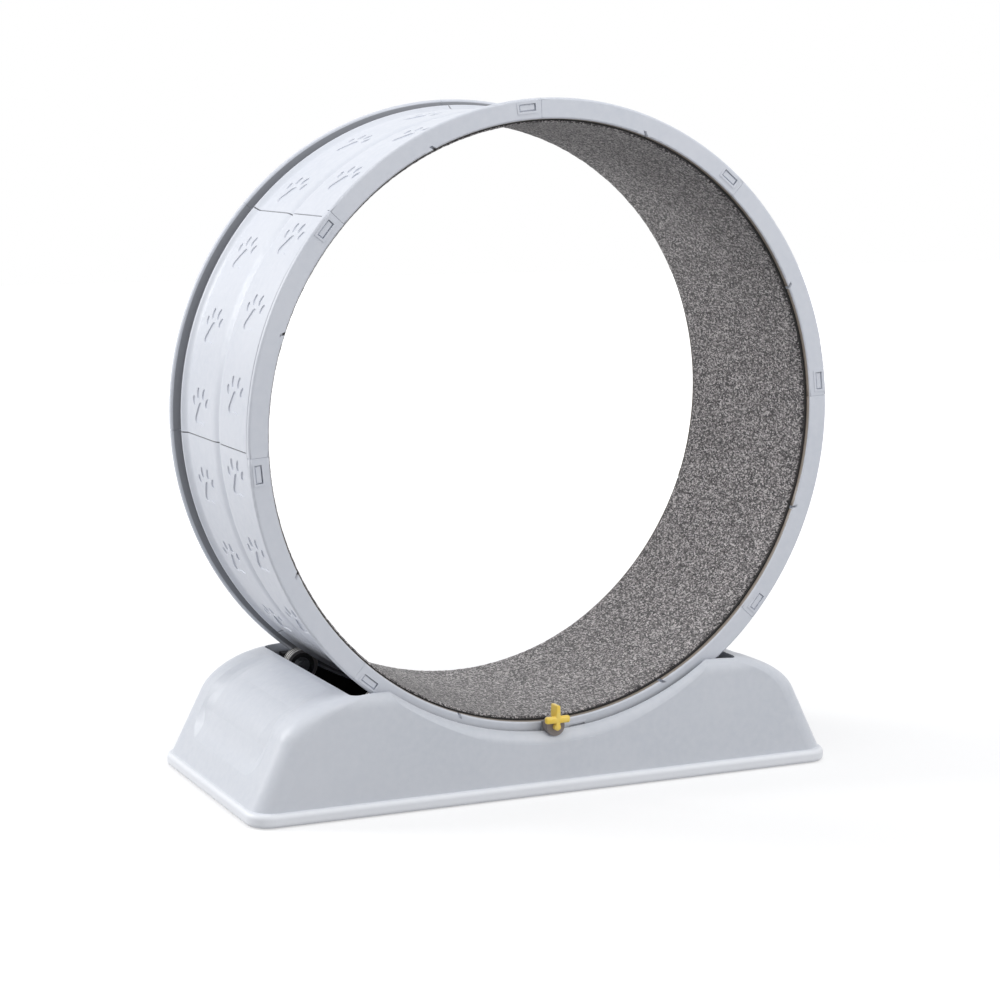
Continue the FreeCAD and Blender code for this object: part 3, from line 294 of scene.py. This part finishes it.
FINISH_OF_SLOT = {
    "wheel_plastic": satin_polypropylene("wheel_satin_polypropylene", "#d7dae2", "#d0d4dd", wheel_zones),
    "base_plastic": satin_polypropylene("base_satin_polypropylene", "#d4d7de", "#cdd1d9", base_zones,
                                        grain_mm=2.2, recess=end_recess),
    "carpet": heathered_loop_pile("heathered_polyester_loop_pile"),
    "mat_edge": rubber("black_foam_rubber_backing", "#0a0909", "#1a1717"),
    # The tread is partly painted light: paler than the grey rubber, to make up for the shadow the rollers sit
    # in.
    "roller_tread": rubber("grey_tyre_rubber", "#dedcd9", "#efedea", grain_mm=0.8, side="#7c7879"),
    "roller_core": matt_plastic("charcoal_moulded_core", "#262628", "#3c3c3e"),
    "steel": zinc_plated_steel("zinc_plated_steel"),
    "mount_plastic": matt_plastic("black_glass_filled_nylon", "#1c1c1e", "#2c2c2f", roughness=0.5),
    "lock_grey": matt_plastic("grey_moulded_lock_housing", "#7b7371", "#8d8684", roughness=0.48),
    "lock_yellow": matt_plastic("yellow_acetal_lever", "#fbd552", "#fde07c", roughness=0.32, grain_mm=0.7),
    "brake_rubber": rubber("black_brake_rubber", "#17161a", "#2b2a2d"),
    "foot_rubber": rubber("black_foot_rubber", "#1b1b1c", "#343433"),
}
for part in frame["record"]["subparts"]:
    solid = NODES[part["node"]]
    solid.data.materials.clear()
    solid.data.materials.append(FINISH_OF_SLOT[part["material_slot"]])


# ---------------------------------------------------------------- mesh helpers

def on_ring(radius, degrees, y):
    """A point of the wheel: degrees run counter-clockwise seen from the lock's side."""
    a = math.radians(degrees)
    return Vector((radius * math.cos(a), y, AXLE_Z + radius * math.sin(a)))


def new_piece(name, vertices, faces, material=None):
    mesh = bpy.data.meshes.new(name)
    mesh.from_pydata([tuple(v) for v in vertices], [], faces)
    if material is not None:
        mesh.materials.append(material)
    piece = bpy.data.objects.new(name, mesh)
    bpy.context.scene.collection.objects.link(piece)
    return piece


def face_outwards(mesh):
    shell = bmesh.new()
    shell.from_mesh(mesh)
    bmesh.ops.recalc_face_normals(shell, faces=shell.faces)
    shell.to_mesh(mesh)
    shell.free()


def settle(piece):
    """Turns the piece's modifiers into its plain mesh."""
    bpy.context.view_layer.update()
    view = bpy.context.evaluated_depsgraph_get()
    mesh = bpy.data.meshes.new_from_object(piece.evaluated_get(view))
    piece.modifiers.clear()
    old, piece.data = piece.data, mesh
    mesh.name = piece.name
    bpy.data.meshes.remove(old)


def join_solids(solids):
    """Vertices and faces of several solids as those of one mesh."""
    vertices, faces = [], []
    for points, sides in solids:
        start = len(vertices)
        vertices += points
        faces += [tuple(start + i for i in side) for side in sides]
    return vertices, faces


def walls(levels, count):
    """The faces between rings of count points each, from one ring to the next."""
    faces = []
    for level in range(levels - 1):
        for i in range(count):
            a, b = level * count + i, level * count + (i + 1) % count
            faces.append((a, b, b + count, a + count))
    return faces


# ---------------------------------------------------------------- paw prints and seams of a segment

PAW_DEPTH = 1.5 * MM
PAW_DRAFT = 0.35 * MM
CUTTER_RISE = 1.5 * MM                         # how far a pad's cutter stands out of the panel
PRINT_SCALE = 0.91
FRONT_ROW = (-57 * MM, (5.3, 20.2, 35.4))      # middle of the prints, and degrees past the seam
BACK_ROW = (60 * MM, (9.3, 24.2, 39.3))

# All in millimetres before PRINT_SCALE, along the print and across it.
HALF_HEEL = [(5.0, 0.0), (4.3, 3.4), (1.6, 6.6), (-3.2, 9.8), (-8.6, 13.6), (-13.6, 17.4), (-18.2, 19.4),
             (-22.0, 18.0), (-24.0, 13.8), (-23.2, 8.0), (-22.0, 3.6)]
HEEL_EDGE = (-21.8, 0.0)
TOES = [(17.0, 10.6, 15.0, 9.4, 13), (6.0, 25.0, 13.6, 9.0, 30)]     # place, length, width and lean
TOE_POINTS, TOE_TAPER = 16, 0.16


def toe_outline(along, across, length, width, lean):
    """A rounded toe pad, leaning outwards by lean degrees."""
    a = math.radians(lean)
    points = []
    for i in range(TOE_POINTS):
        t = 2 * math.pi * i / TOE_POINTS
        u = length / 2 * math.cos(t)
        v = width / 2 * math.sin(t) * (1 - TOE_TAPER * math.cos(t))
        points.append((along + u * math.cos(a) - v * math.sin(a), across + u * math.sin(a) + v * math.cos(a)))
    return points


def paw_pads():
    """The outlines of a print: a heel, which is a rounded triangle with a flat, slightly lobed
    lower edge, and four toes."""
    pads = [HALF_HEEL + [HEEL_EDGE] + [(a, -b) for a, b in reversed(HALF_HEEL[1:])]]
    for along, across, length, width, lean in TOES:
        pads += [toe_outline(along, hand * across, length, width, hand * lean) for hand in (1, -1)]
    return [[(a * PRINT_SCALE, b * PRINT_SCALE) for a, b in pad] for pad in pads]


def pad_cutter(outline_mm, degrees, y):
    """The hollow of one pad: its floor lies PAW_DEPTH in, its wall drafts open."""
    middle = np.mean(outline_mm, axis=0)
    points = []
    for radius, grow in ((SHELL_R - PAW_DEPTH, 0.0), (SHELL_R + CUTTER_RISE, 2 * PAW_DRAFT)):
        for a, b in outline_mm:
            step = Vector((a - middle[0], b - middle[1])).normalized() * grow
            s, t = a * MM + step.x, b * MM + step.y
            points.append(on_ring(radius, degrees - math.degrees(s / SHELL_R), y + t))
    n = len(outline_mm)
    return points, [tuple(range(n - 1, -1, -1)), tuple(range(n, 2 * n))] + walls(2, n)


SIDE_FACE = 144.0
SEAM_PROFILE = [  # radius and |y|, in mm, of the outside of the section, from the flange's bore edge
    (364.0, SIDE_FACE), (386.5, SIDE_FACE), (388.5, 142.0), (388.5, 138.0), (387.0, 136.0), (376.0, 136.0),
    (376.0, 118.0), (381.3, 117.4), (381.3, 115.0), (380.6, 114.0), (378.8, 111.5), (376.6, 108.0),
    (376.0, 104.5), (376.0, 14.0), (375.6, 9.2), (374.4, 4.6), (372.4, 0.7)]
SEAM_ON_SIDE, SEAM_ON_OUTSIDE = (0.30, 0.5), (0.80, 1.4)       # half width and depth, in mm
SEAM_RISE = 1.2 * MM                                         # how far the cutter stands out


def seam_cutter(degrees):
    """A thin slot that follows the section's outside, where two segments meet."""
    back = [(r * MM, -y * MM) for r, y in SEAM_PROFILE]
    path = back + [(r, -y) for r, y in reversed(back)]
    vertices, faces = [], []
    last = len(path) - 1
    for i, (r, y) in enumerate(path):
        before, after = path[max(i - 1, 0)], path[min(i + 1, last)]
        run = Vector((after[0] - before[0], after[1] - before[1])).normalized()
        out = Vector((-run.y, run.x))
        if out.x + math.copysign(out.y, y * out.y) < 0:
            out = -out
        half_mm, deep_mm = SEAM_ON_SIDE if abs(abs(y) - SIDE_FACE * MM) < 1e-6 else SEAM_ON_OUTSIDE
        half = math.degrees(half_mm * MM / SHELL_R)
        for step in (-deep_mm * MM, SEAM_RISE):
            for turn in (-half, half):
                vertices.append(on_ring(r + out.x * step, degrees + turn, y + out.y * step))
    for a in range(0, 4 * last, 4):
        b = a + 4
        faces += [(a, a + 1, b + 1, b), (a + 1, a + 3, b + 3, b + 1), (a + 3, a + 2, b + 2, b + 3),
                  (a + 2, a, b, b + 2)]
    end = 4 * last
    return vertices, faces + [(0, 2, 3, 1), (end, end + 1, end + 3, end + 2)]


SHARP_EDGE = math.radians(32)
# how much of a normal lies along the axle line: more than the first on a side, less than the
# second on a cylinder; and the least that points from or to the axle
FACING_SIDE, LEVEL_SLACK = 0.9995, 0.02
ON_CYLINDER, ON_CONE = 0.995, 0.35
RADIUS_SLACK = 0.6 * MM
MOST_LEAN = 0.94


def true_round_normals(mesh, radii):
    """Gives the rim's turned faces the normals of true cylinders and cones, and its flat faces
    their own, so that no facets show."""
    mesh.shade_smooth()
    mesh.set_sharp_from_angle(angle=SHARP_EDGE)
    corners = np.zeros(len(mesh.loops) * 3)
    mesh.corner_normals.foreach_get("vector", corners)
    corners = corners.reshape(-1, 3)
    points = np.zeros(len(mesh.vertices) * 3)
    mesh.vertices.foreach_get("co", points)
    points = points.reshape(-1, 3)
    for face in mesh.polygons:
        if abs(face.normal.y) > FACING_SIDE:
            for loop in face.loop_indices:
                corners[loop] = face.normal
            continue
        radial = Vector((face.center.x, 0, face.center.z - AXLE_Z))
        facing = face.normal.dot(radial.normalized())
        level = abs(face.normal.y) < LEVEL_SLACK
        off_cylinder = abs(facing) < ON_CYLINDER or min(abs(radial.length - r) for r in radii) > RADIUS_SLACK
        off_cone = abs(facing) < ON_CONE or facing ** 2 + face.normal.y ** 2 < FACING_SIDE
        if off_cylinder if level else off_cone:
            continue
        for loop in face.loop_indices:
            p = points[mesh.loops[loop].vertex_index]
            away = np.array((p[0], 0.0, p[2] - AXLE_Z))
            lean = 0.0 if level else float(np.clip(corners[loop][1], -MOST_LEAN, MOST_LEAN))
            corners[loop] = away / np.linalg.norm(away) * math.copysign(math.sqrt(1 - lean ** 2), facing)
            corners[loop][1] = lean
    mesh.normals_split_custom_set([tuple(n) for n in corners])


def merged_copy(node, name):
    """A copy of a solid's mesh with its loose triangles joined up."""
    mesh = NODES[node].data.copy()
    mesh.name = name
    shell = bmesh.new()
    shell.from_mesh(mesh)
    bmesh.ops.remove_doubles(shell, verts=shell.verts, dist=1e-6)
    bmesh.ops.dissolve_degenerate(shell, edges=shell.edges, dist=1e-7)
    shell.to_mesh(mesh)
    shell.free()
    piece = bpy.data.objects.new(name, mesh)
    bpy.context.scene.collection.objects.link(piece)
    return piece


def moulded_segment(number):
    """One segment with its paw prints sunk into the panels and a fine parting line at each end."""
    seam = FIRST_SEAM + SEGMENT_SPAN * (number - 1)
    piece = merged_copy(f"segment_{number}", f"moulded_segment_{number}")
    solids = [pad_cutter(pad, seam + turn, y) for y, turns in (FRONT_ROW, BACK_ROW)
              for turn in turns for pad in paw_pads()]
    solids += [seam_cutter(seam), seam_cutter(seam + SEGMENT_SPAN)]
    cutter = new_piece("cutter", *join_solids(solids))
    face_outwards(cutter.data)
    cut = piece.modifiers.new("prints", "BOOLEAN")
    cut.operation, cut.solver, cut.object = "DIFFERENCE", "EXACT", cutter
    cut.use_self = True        # a seam's cutter crosses itself where the section turns a corner
    settle(piece)
    bpy.data.objects.remove(cutter)
    true_round_normals(piece.data, (SHELL_R, SHELL_R - PAW_DEPTH, FLANGE_R, RIDGE_R))
    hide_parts(f"segment_{number}")
    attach(piece, "wheel")


for number in SEGMENTS:
    moulded_segment(number)


# ---------------------------------------------------------------- clip latches behind the windows

WINDOW_TURN, WINDOW_SPAN = 2.85, 3.3                  # degrees: middle past the seam, and along the rim
WINDOW_R, WINDOW_WIDTH = 378.3 * MM, 8.8 * MM
LATCH_GAP = 1.15 * MM
LATCH_FOOT, LATCH_FACE, LATCH_CHAMFER = 141.3 * MM, 143.7 * MM, 0.5 * MM
LATCH_STEPS = 6


def clip_latch(seam, side):
    """The raised face of a clip tongue, with a narrow gap to the window all round."""
    half_turn = math.radians(WINDOW_SPAN / 2) - LATCH_GAP / WINDOW_R
    half_width = WINDOW_WIDTH / 2 - LATCH_GAP
    middle = math.radians(seam + WINDOW_TURN)
    vertices = []
    for y, inset in ((LATCH_FOOT, 0.0), (LATCH_FACE - LATCH_CHAMFER, 0.0), (LATCH_FACE, LATCH_CHAMFER)):
        for radial, way in ((-1, 1), (1, -1)):
            for i in range(LATCH_STEPS + 1)[::way]:
                turn = (2 * i / LATCH_STEPS - 1) * (half_turn - inset / WINDOW_R)
                vertices.append(on_ring(WINDOW_R + radial * (half_width - inset),
                                        math.degrees(middle + turn), side * y))
    n = len(vertices) // 3
    return vertices, [tuple(range(n)), tuple(range(3 * n - 1, 2 * n - 1, -1))] + walls(3, n)


latches = new_piece("clip_latches", *join_solids(
    [clip_latch(FIRST_SEAM + SEGMENT_SPAN * (number - 1), side) for number in SEGMENTS
     for side in FRONT_AND_BACK]), FINISH_OF_SLOT["wheel_plastic"])
face_outwards(latches.data)
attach(latches, "wheel")


# ---------------------------------------------------------------- the lock's lever

# Millimetres: lowest and highest corner, and the rounding.
LEVER_BAR = ((-16.6, -169.5, 89.4), (16.6, -162.4, 98.2), 2.9)
LEVER_BLADE = ((-3.1, -169.5, 95.0), (3.1, -152.8, 111.6), 1.2)
LEVER_STEM = ((-2.6, -169.2, 82.0), (2.6, -162.4, 92.0), 1.0)
BLADE_TAPER = 0.22
SPINDLE_Z, BOSS_R, BOSS_FRONT, BOSS_BACK = 84.5, 4.3, -168.4, -162.4
BOSS_POINTS = 32


def rounded_block(low, high, radius, taper=0.0):
    """A block between two corners with rounded edges; taper narrows its top, left to right."""
    block = bmesh.new()
    bmesh.ops.create_cube(block, size=1.0)
    for v in block.verts:
        share = v.co + Vector((0.5, 0.5, 0.5))
        v.co = [(a + (b - a) * t) * MM for a, b, t in zip(low, high, share)]
        v.co.x *= 1 - taper * share.z
    bmesh.ops.bevel(block, geom=list(block.edges), offset=radius * MM, segments=4, profile=0.5,
                    affect="EDGES")
    block.verts.index_update()
    solid = [v.co.copy() for v in block.verts], [tuple(v.index for v in f.verts) for f in block.faces]
    block.free()
    return solid


def turned_boss():
    """A short round boss about the spindle, with a rounded front."""
    levels = [(BOSS_BACK, BOSS_R), (BOSS_FRONT + 1.4, BOSS_R), (BOSS_FRONT + 0.4, BOSS_R - 0.5),
              (BOSS_FRONT, BOSS_R - 1.5)]
    turns = [2 * math.pi * i / BOSS_POINTS for i in range(BOSS_POINTS)]
    vertices = [Vector((r * math.cos(a), y, SPINDLE_Z + r * math.sin(a))) * MM
                for y, r in levels for a in turns]
    count = len(vertices)
    ends = [tuple(range(BOSS_POINTS)), tuple(range(count - 1, count - 1 - BOSS_POINTS, -1))]
    return vertices, walls(len(levels), BOSS_POINTS) + ends


def moulded_lever():
    """The lever as moulded: a thick soft cross bar and a blade that narrows towards its top."""
    blocks = [rounded_block(*LEVER_BAR), rounded_block(*LEVER_BLADE, taper=BLADE_TAPER),
              rounded_block(*LEVER_STEM), turned_boss()]
    lever = new_piece("moulded_lever", *join_solids(blocks), FINISH_OF_SLOT["lock_yellow"])
    face_outwards(lever.data)
    lever.data.shade_smooth()
    lever.data.set_sharp_from_angle(angle=math.radians(40))
    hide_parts("lock_lever")
    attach(lever, "lock_lever")


moulded_lever()


# ---------------------------------------------------------------- the running mat's pile

PILE_INNER, PILE_OUTER = 359.75 * MM, 361.7 * MM
PILE_HALF = 134.6 * MM         # the yarn at the edges leans a little over the backing
PILE_JOINT = 30                # degrees: where the mat's two ends meet
LOOPS_ROUND, LOOPS_ACROSS = 900, 108
LOOP_STRETCH = 0.8             # the loops are longer across the runway
END_ROLL = 0.007               # radians: how far the joint's rounding reaches
EDGE_DROP = 1.3                # how far the edges sink, in loop heights
TUFT_SHARE = 0.62              # brings a loop and a wave together to about one loop height


def pile_tree():
    """A closed belt, wider than thick, with a loop pile raised on its running face. A flat grid's
    rows become the running face, the two edges and the back."""
    tree = bpy.data.node_groups.new("running_mat_pile", "GeometryNodeTree")
    sizes = {"Inner Radius": PILE_INNER, "Outer Radius": PILE_OUTER, "Half Width": PILE_HALF,
             "Loop Spacing": 6.2 * MM, "Loop Height": 0.95 * MM, "Edge Roll": 2.6 * MM,
             "Joint Angle": math.radians(PILE_JOINT)}
    keys = {}
    for name, value in sizes.items():
        socket = tree.interface.new_socket(name=name, in_out="INPUT", socket_type="NodeSocketFloat")
        socket.default_value = value
        keys[name] = (socket.identifier, value)
    pile = tree.interface.new_socket(name="Finish", in_out="INPUT", socket_type="NodeSocketMaterial")
    keys["Finish"] = (pile.identifier, FINISH_OF_SLOT["carpet"])
    tree.interface.new_socket(name="Geometry", in_out="OUTPUT", socket_type="NodeSocketGeometry")
    given = add(tree, "NodeGroupInput").outputs

    # the grid's places run from -0.5 to 0.5, round the belt and across it
    grid = add(tree, "GeometryNodeMeshGrid", (1.0, 1.0, LOOPS_ROUND + 1, LOOPS_ACROSS + 1))
    along, across, _ = add(tree, SPLIT, [add(tree, "GeometryNodeInputPosition")]).outputs
    share = add(tree, MATH, [across], operation="ABSOLUTE")
    row = 1 / LOOPS_ACROSS
    rows = [0.0, 0.5 - 2 * row, 0.5 - row, 0.5]
    out, edge_wall, back = [add(tree, MAP_RANGE, {"Value": share, "From Min": low, "From Max": high})
                            for low, high in zip(rows, rows[1:])]
    side = add(tree, MATH, [across], operation="SIGN")
    reach = add(tree, MATH, (side, given["Half Width"]), operation="MULTIPLY")
    net = add(tree, MATH, (out, back), operation="SUBTRACT")
    y = add(tree, MATH, (reach, net), operation="MULTIPLY")
    circle = add(tree, MATH, (along, 2 * math.pi), operation="MULTIPLY")

    # loops and slow waves of the running face, laid out flat
    run = add(tree, MATH, (circle, given["Inner Radius"]), operation="MULTIPLY")
    squeezed = add(tree, MATH, (y, LOOP_STRETCH), operation="MULTIPLY")
    flat = add(tree, "ShaderNodeCombineXYZ", (run, squeezed, 0.0))
    fineness = add(tree, MATH, (1.0, given["Loop Spacing"]), operation="DIVIDE")
    loops = add(tree, "ShaderNodeTexVoronoi", {"Vector": flat, "Scale": fineness})
    tuft = add(tree, MATH, (1.0, loops.outputs["Distance"]), operation="SUBTRACT")
    waves = add(tree, NOISE, {"Vector": flat, "Scale": scale_of(4), "Detail": 2.0})
    tuft = add(tree, MATH, (tuft, waves), operation="ADD")
    tuft = add(tree, MATH, (tuft, TUFT_SHARE), operation="MULTIPLY")

    # the pile rolls down at its two edges and at the joint
    out_from_middle = add(tree, MATH, [y], operation="ABSOLUTE")
    to_edge = add(tree, MATH, (given["Half Width"], out_from_middle), operation="SUBTRACT")
    edge = add(tree, MAP_RANGE, {"Value": to_edge, "From Min": 0.0, "From Max": given["Edge Roll"]})
    from_middle = add(tree, MATH, [circle], operation="ABSOLUTE")
    to_joint = add(tree, MATH, (math.pi, from_middle), operation="SUBTRACT")
    end = add(tree, MAP_RANGE, {"Value": to_joint, "From Min": 0.0, "From Max": END_ROLL})
    edge_round = add(tree, MATH, (edge, 0.5), operation="POWER")
    end_round = add(tree, MATH, (end, 0.5), operation="POWER")
    shape = add(tree, MATH, (edge_round, end_round), operation="MULTIPLY")
    lifted = add(tree, MATH, (tuft, shape), operation="MULTIPLY")
    lifted = add(tree, MATH, (lifted, given["Loop Height"]), operation="MULTIPLY")
    unshaped = add(tree, MATH, (1.0, shape), operation="SUBTRACT")
    drop = add(tree, MATH, (given["Loop Height"], EDGE_DROP), operation="MULTIPLY")
    sunk = add(tree, MATH, (unshaped, drop), operation="MULTIPLY")
    rise = add(tree, MATH, (lifted, sunk), operation="SUBTRACT")

    # the belt is bent round the axle line
    face = add(tree, MATH, (given["Inner Radius"], rise), operation="SUBTRACT")
    face_part = add(tree, MATH, (1.0, edge_wall), operation="SUBTRACT")
    inner = add(tree, MATH, (face, face_part), operation="MULTIPLY")
    outer = add(tree, MATH, (given["Outer Radius"], edge_wall), operation="MULTIPLY")
    radius = add(tree, MATH, (inner, outer), operation="ADD")
    start = add(tree, MATH, (given["Joint Angle"], math.pi), operation="ADD")
    turn = add(tree, MATH, (circle, start), operation="ADD")
    level = add(tree, MATH, [turn], operation="COSINE")
    upright = add(tree, MATH, [turn], operation="SINE")
    x = add(tree, MATH, (radius, level), operation="MULTIPLY")
    height = add(tree, MATH, (radius, upright), operation="MULTIPLY")
    z = add(tree, MATH, (height, AXLE_Z), operation="ADD")
    spot = add(tree, "ShaderNodeCombineXYZ", (x, y, z))
    bent = add(tree, "GeometryNodeSetPosition", {"Geometry": grid, "Position": spot})
    closed = add(tree, "GeometryNodeMergeByDistance", {"Geometry": bent, "Distance": 0.02 * MM})
    smooth = add(tree, "GeometryNodeSetShadeSmooth", {"Geometry": closed})
    real = add(tree, "GeometryNodeRealizeInstances", {"Geometry": smooth})
    dressed = add(tree, "GeometryNodeSetMaterial", {"Geometry": real, "Material": given["Finish"]})
    add(tree, "NodeGroupOutput", [dressed])
    return tree, keys


tree, keys = pile_tree()
running_pile = new_piece("running_pile", [], [])
grow = running_pile.modifiers.new("pile", "NODES")
grow.node_group = tree
for identifier, value in keys.values():
    grow[identifier] = value
settle(running_pile)
face_outwards(running_pile.data)
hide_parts("running_mat")
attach(running_pile, "wheel")


# ---------------------------------------------------------------- floor, light and camera

FLOOR_REACH = 9.0
GLOW_NEAR, GLOW_FAR = (0.9, 0.57), (3.2, 1.0)      # metres from the middle, and the floor's own light there


def seen_or_mirrored(tree):
    """One for rays that come straight from the camera, off a gloss or through glass."""
    rays = add(tree, "ShaderNodeLightPath").outputs
    seen = add(tree, MATH, (rays["Is Camera Ray"], rays["Is Glossy Ray"]), operation="MAXIMUM")
    return add(tree, MATH, (seen, rays["Is Transmission Ray"]), operation="MAXIMUM")


def pale_floor():
    """A white studio floor: it shows white where it is lit and keeps the soft shadow."""
    material, tree, shader, place = new_finish("studio_white", IOR=1.45, Roughness=0.9)
    speck = add(tree, NOISE, {"Vector": place, "Scale": 2.0, "Detail": 2.0}).outputs["Fac"]
    tone = add(tree, "ShaderNodeValToRGB", [speck], [(0.3, "#adadae"), (0.7, "#b2b2b3")])
    tree.links.new(tone.outputs[0], shader.inputs["Base Color"])
    away = add(tree, "ShaderNodeVectorMath", [place], operation="LENGTH").outputs["Value"]
    lift = add(tree, MAP_RANGE, {"Value": away, "From Min": GLOW_NEAR[0], "From Max": GLOW_FAR[0],
                                 "To Min": GLOW_NEAR[1], "To Max": GLOW_FAR[1]})
    glow = add(tree, "ShaderNodeEmission", {"Color": (1, 1, 1, 1), "Strength": lift})
    bright = add(tree, "ShaderNodeAddShader", (shader, glow))
    mix = add(tree, "ShaderNodeMixShader", (seen_or_mirrored(tree), shader, bright))
    tree.links.new(mix.outputs[0], next(n for n in tree.nodes if n.type == "OUTPUT_MATERIAL").inputs[0])
    corners = [(x * FLOOR_REACH, y * FLOOR_REACH, 0) for x, y in ((-1, -1), (1, -1), (1, 1), (-1, 1))]
    new_piece("floor", corners, [(0, 1, 2, 3)], material)


def studio_world():
    """A soft even light from all round, which shows as plain white."""
    world = bpy.data.worlds.new("studio")
    bpy.context.scene.world = world
    world.use_nodes = True
    tree = world.node_tree
    tree.nodes.clear()
    soft = add(tree, "ShaderNodeBackground", {"Color": (0.97, 0.985, 1.0, 1), "Strength": 0.56})
    white = add(tree, "ShaderNodeBackground", {"Color": (1, 1, 1, 1), "Strength": 1.0})
    mix = add(tree, "ShaderNodeMixShader", (seen_or_mirrored(tree), soft, white))
    add(tree, "ShaderNodeOutputWorld", [mix])


def soft_box(name, place, aim, size, watts):
    lamp = bpy.data.lights.new(name, "AREA")
    lamp.shape, lamp.size, lamp.energy = "DISK", size, watts
    holder = bpy.data.objects.new(name, lamp)
    bpy.context.scene.collection.objects.link(holder)
    holder.location = place
    holder.rotation_euler = (Vector(aim) - Vector(place)).to_track_quat("-Z", "Y").to_euler()


CAMERA_PLACE = (-1.31345, -2.66755, 0.80968)
CAMERA_YAW, CAMERA_PITCH, CAMERA_ROLL = 0.4129, 0.1536, 0.0021      # radians
SENSOR_WIDTH, FOCAL_LENGTH = 36, 85.78
SHIFT_X, SHIFT_Y = 0.10607, -0.00807


def photo_camera():
    """The photograph's camera, fitted to the rims and the base's edges."""
    ahead = Vector((math.sin(CAMERA_YAW) * math.cos(CAMERA_PITCH),
                    math.cos(CAMERA_YAW) * math.cos(CAMERA_PITCH), -math.sin(CAMERA_PITCH)))
    level = Vector((math.cos(CAMERA_YAW), -math.sin(CAMERA_YAW), 0))
    upright = level.cross(ahead)
    right = level * math.cos(CAMERA_ROLL) + upright * math.sin(CAMERA_ROLL)
    up = upright * math.cos(CAMERA_ROLL) - level * math.sin(CAMERA_ROLL)
    lens = bpy.data.cameras.new("photo_camera")
    lens.sensor_width, lens.lens = SENSOR_WIDTH, FOCAL_LENGTH
    lens.shift_x, lens.shift_y = SHIFT_X, SHIFT_Y
    lens.clip_start, lens.clip_end = 0.1, 50
    camera = bpy.data.objects.new("photo_camera", lens)
    bpy.context.scene.collection.objects.link(camera)
    turn = Matrix((right, up, -ahead)).transposed().to_4x4()
    camera.matrix_world = Matrix.Translation(CAMERA_PLACE) @ turn
    bpy.context.scene.camera = camera


pale_floor()
studio_world()
WHEEL_MIDDLE, WHEEL_TOP = (0, 0, 0.4), (0, 0, 0.75)
soft_box("key", (-3.1, 2.1, 2.1), WHEEL_MIDDLE, 1.8, 84)
soft_box("overhead", (-0.3, -0.6, 3.6), WHEEL_MIDDLE, 2.4, 34)
soft_box("front_top", (0.9, -1.9, 2.3), WHEEL_TOP, 1.3, 8)
soft_box("fill", (2.2, -3.2, 1.6), WHEEL_MIDDLE, 2.6, 30)
photo_camera()
bpy.context.scene.view_settings.view_transform = "Standard"
